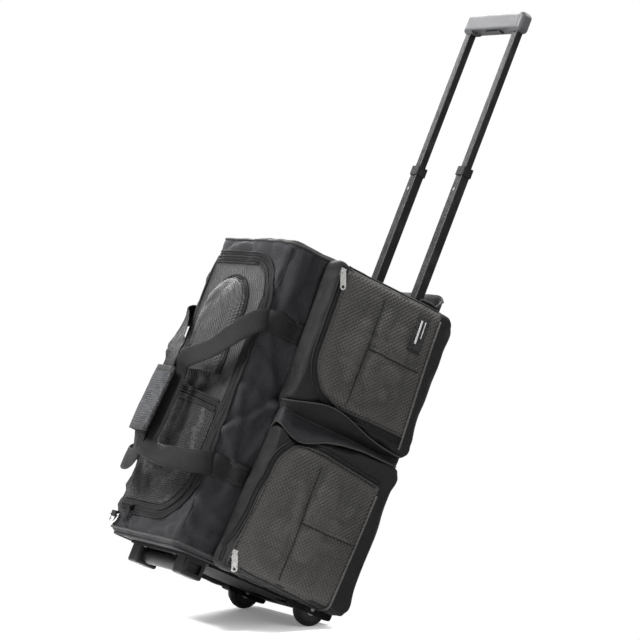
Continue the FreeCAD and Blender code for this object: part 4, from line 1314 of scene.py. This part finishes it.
def build_straps():
    face_out, corner = (1, -0.1, 0), (0.85, -0.5, 0)
    near_points = [
        ((128.6, -166, 440), face_out), ((131, -180, 434), corner), ((127, -196, 419), (0.7, -0.7, 0.1)),
        ((112, -212, 392), (0.5, -0.86, 0.15)), ((86, -222, 365), (0.35, -0.93, 0.15)),
        ((54, -229, 349), (0.3, -0.95, 0.1)), ((27, -231, 336), (0.35, -0.93, 0)),
        ((14, -228, 316), (0.42, -0.9, 0)), ((13, -228, 290), (0.42, -0.9, 0)),
        ((13, -231, 230), (0.42, -0.9, 0)), ((13, -234, 203), (0.42, -0.9, 0)),
        ((14, -236, 188), (0.3, -0.9, 0.3)), ((26, -236, 177), (0.15, -0.8, 0.6)),
        ((50, -233, 172), (0.2, -0.82, 0.5)), ((80, -227, 170), (0.35, -0.9, 0.25)),
        ((108, -214, 172), (0.6, -0.78, 0.1)), ((125, -197, 176), (0.75, -0.66, 0)),
        ((131, -181, 181), corner), ((128.6, -166, 185), face_out),
    ]
    far_points = [
        ((128, -162, 436), (1, -0.1, 0)), ((127.5, -175, 430), (0.8, -0.6, 0)),
        ((116, -184, 418), (0.3, -0.95, 0)), ((100, -192, 404), (0, -1, 0)),
        ((80, -203, 389), (-0.1, -0.98, 0.1)), ((59, -215, 373), (-0.25, -0.95, 0.1)),
        ((38, -223, 361), (-0.4, -0.9, 0.1)), ((18, -232, 341), (-0.1, -0.99, 0)),
        ((6, -238.5, 318), (0, -1, 0)), ((4, -239.5, 290), (0, -1, 0)), ((4, -241, 230), (0, -1, 0)),
        ((4, -243, 203), (0, -1, 0)), ((6, -239, 186), (0, -1, 0)), ((16, -232, 167), (0, -1, 0)),
        ((38, -225, 155), (0, -1, 0)), ((70, -216, 155), (0.2, -0.97, 0)),
        ((100, -203, 163), (0.3, -0.95, 0)), ((116, -188, 174), (0.3, -0.95, 0)),
        ((122, -178, 183), (0.3, -0.95, 0)),
    ]
    for name, sign, table in (("near", 1, near_points), ("far", -1, far_points)):
        points = [(sign * x, y, z) for (x, y, z), _ in table]
        normals = [(sign * a, b, c) for _, (a, b, c) in table]
        strap(f"{name}_handle_strap", points, normals, f"{name}_loop", f"{name}_strap")
def build_tails(shell_tree):
    """The straps' ends, sewn flat on the bag's sides with two rows of stitches each."""
    tails = []
    for name, sign in (("near", 1), ("far", -1)):
        for level, z in TAIL_Z.items():
            inward = Vector((-sign, 0, 0))
            path = [drop(shell_tree, (sign * 125, y, z), inward, 1.6)[0] for y in range(-92, -161, -8)]
            normals = [(sign, 0, 0)] * len(path)
            corner = Vector((-sign * 0.7, 0.7, 0)).normalized()
            path.append(drop(shell_tree, (sign * 121, -168, z), corner, 1.8)[0])
            normals.append((sign * 0.75, -0.66, 0))
            profile = flat_band(STRAP_WIDE, 2.4)
            tail = sweep(f"{name}_{level}_tail", path, normals, profile, "webbing")
            tails.append(tail)
            tree = surface_of(tail)
            for k, dz in enumerate((14, -14)):
                line = [(sign * 130, y, z + dz) for y in (-98, -128)]
                tag = f"{name}_{level}_stitch_{k}"
                seam(tag, tree, line, inward, circle(0.5, 6), "stitch", 0.15, 8)
    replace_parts(tails[0], "strap_tails")


def build_wrap():
    """Padded wrap: a folded flap open towards +X, with a thin lining and two hems."""
    x0, x1, y0, y1, z0, z1 = extent("grip_wrap")
    fold = [(x1 - 1, y0 + 2.5), (x0 + 7, y0 + 2.0), (x0 + 2.5, y0 + 6), (x0 + 2.5, y1 - 6),
            (x0 + 7, y1 - 2.5), (8, y1 - 2.5)]
    line = smooth_path([(x, y, 0) for x, y in fold], 4)
    rows, half_thick, lean = 26, 2.5, 9

    def place(p, normal, along, up, side_index):
        z = z0 + (z1 - z0) * up
        puff = 1.4 * dome(along, 4) * dome(up, 6) + rumple((p.x, p.y, z), 18, 1.0, 3.0)
        q = p + normal * (-half_thick if side_index else half_thick + puff)
        return q.x, q.y - lean * (1 - up), z

    wrap, verts = double_wall("hand_wrap", line, rows, place, "knit", "far_loop")
    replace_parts(wrap, "grip_wrap")
    tree = surface_of(wrap)
    count = len(line)
    inner, faces = [], []
    for r in range(rows + 1):
        row = verts[(2 * r + 1) * count:(2 * r + 2) * count]
        for k, (x, y, z) in enumerate(row):
            a, b = row[max(k - 1, 0)], row[min(k + 1, count - 1)]
            d = Vector((b[0] - a[0], b[1] - a[1], 0)).normalized()
            inner.append((x + d.y * 0.7, y - d.x * 0.7, z))
    for k in range(rows * count):
        if k % count < count - 1:
            faces.append((k, k + 1, k + count + 1, k + count))
    lining = piece("wrap_lining", inner, faces, "inner", "far_loop")
    modify(lining, "SOLIDIFY", thickness=0.0009, offset=0)
    bake_modifiers(lining)
    for k, z in enumerate((z1 - 5, z0 + 5)):
        hem = [(x, y0, z) for x in (x0 + 5, 0, x1 - 2)]
        seam(
            f"wrap_hem_{k}", tree, hem, (0, 1, 0), flat_band(9, 1.4), "piping", 0.5, 6,
            body="far_loop",
        )


# ---------------------------------------------------------------- hood of the pull handle


def build_hood():
    """Low cloth wall round the back of the pull handle's well."""
    x0, x1, y0, y1, z0, z1 = extent("handle_hood")
    outline = [(x1 - 2, y0), (x1 - 2, y1 - 16), (x1 - 8, y1 - 6), (x1 - 18, y1 - 2),
               (0, y1 - 2), (x0 + 18, y1 - 2), (x0 + 8, y1 - 6), (x0 + 2, y1 - 16), (x0 + 2, y0)]
    line = smooth_path([(x, y, 0) for x, y in outline], 7)
    rows, low, fall_most = 6, z0 - 6, 27

    def place(p, normal, along, up, side_index):
        beyond = min(1.0, max(0.0, abs(p.x) - 58) / 36)
        fall = fall_most * (1 - math.sqrt(1 - beyond ** 2)) if p.y > y1 - 16 else fall_most
        top = z1 - fall - rumple((p.x, p.y, 0), 30, 2)
        q = p + normal * (1.6 if side_index else -1.6)
        return q.x, q.y, low + (top - low) * up

    hood, verts = double_wall("hood_cloth", line, rows, place, "shaded_black")
    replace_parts(hood, "handle_hood")
    count = len(line)
    path = [(x, y, z + 0.5) for x, y, z in verts[2 * rows * count:(2 * rows + 1) * count]]
    sweep("hood_piping", path, [(0, 0, 1)] * count, circle(2.0), "piping")


# y, z of the seam down each side, in front of the pockets
BODY_SEAM = (
    (-101, 574), (-98, 500), (-92, 420), (-84, 330), (-88, 300), (-80, 200), (-68, 110), (-58, 46)
)


def main():
    build_floor()
    light_studio()
    shell = build_shell()
    shell_tree = surface_of(shell)
    ring_piping("top_piping", shell_tree, TOP_Z - 7, 2.2, "piping")
    ring_piping("bottom_piping", shell_tree, BASE_Z + 9, 2.0, "piping")
    ring_piping("bottom_binding", shell_tree, BASE_Z + 1.5, 2.6, "shell")
    for name, sign in (("near", 1), ("far", -1)):
        line = [(sign * SIDE_X1, y, z) for y, z in BODY_SEAM]
        seam(f"{name}_body_seam", shell_tree, line, (-sign, 0, 0), circle(1.5), "shaded_black", 0.4, 8)
        corner = [(sign * (SIDE_X1 - 6), FRONT_Y + 6, z) for z in range(70, 571, 50)]
        seam(f"{name}_corner_seam", shell_tree, corner, (-sign * 0.7, 0.7, 0), circle(1.1), "shaded_black", 0.2, 8)
    panels = {}
    for name, sign in (("near", 1), ("far", -1)):
        for level in ("upper", "lower"):
            panels[name, level] = build_pocket(name, sign, level)
        build_fold(name, sign)
    build_label(panels["near", "upper"])
    build_lid()
    build_main_zip(shell_tree)
    build_straps()
    build_tails(shell_tree)
    build_wrap()
    build_hood()


main()
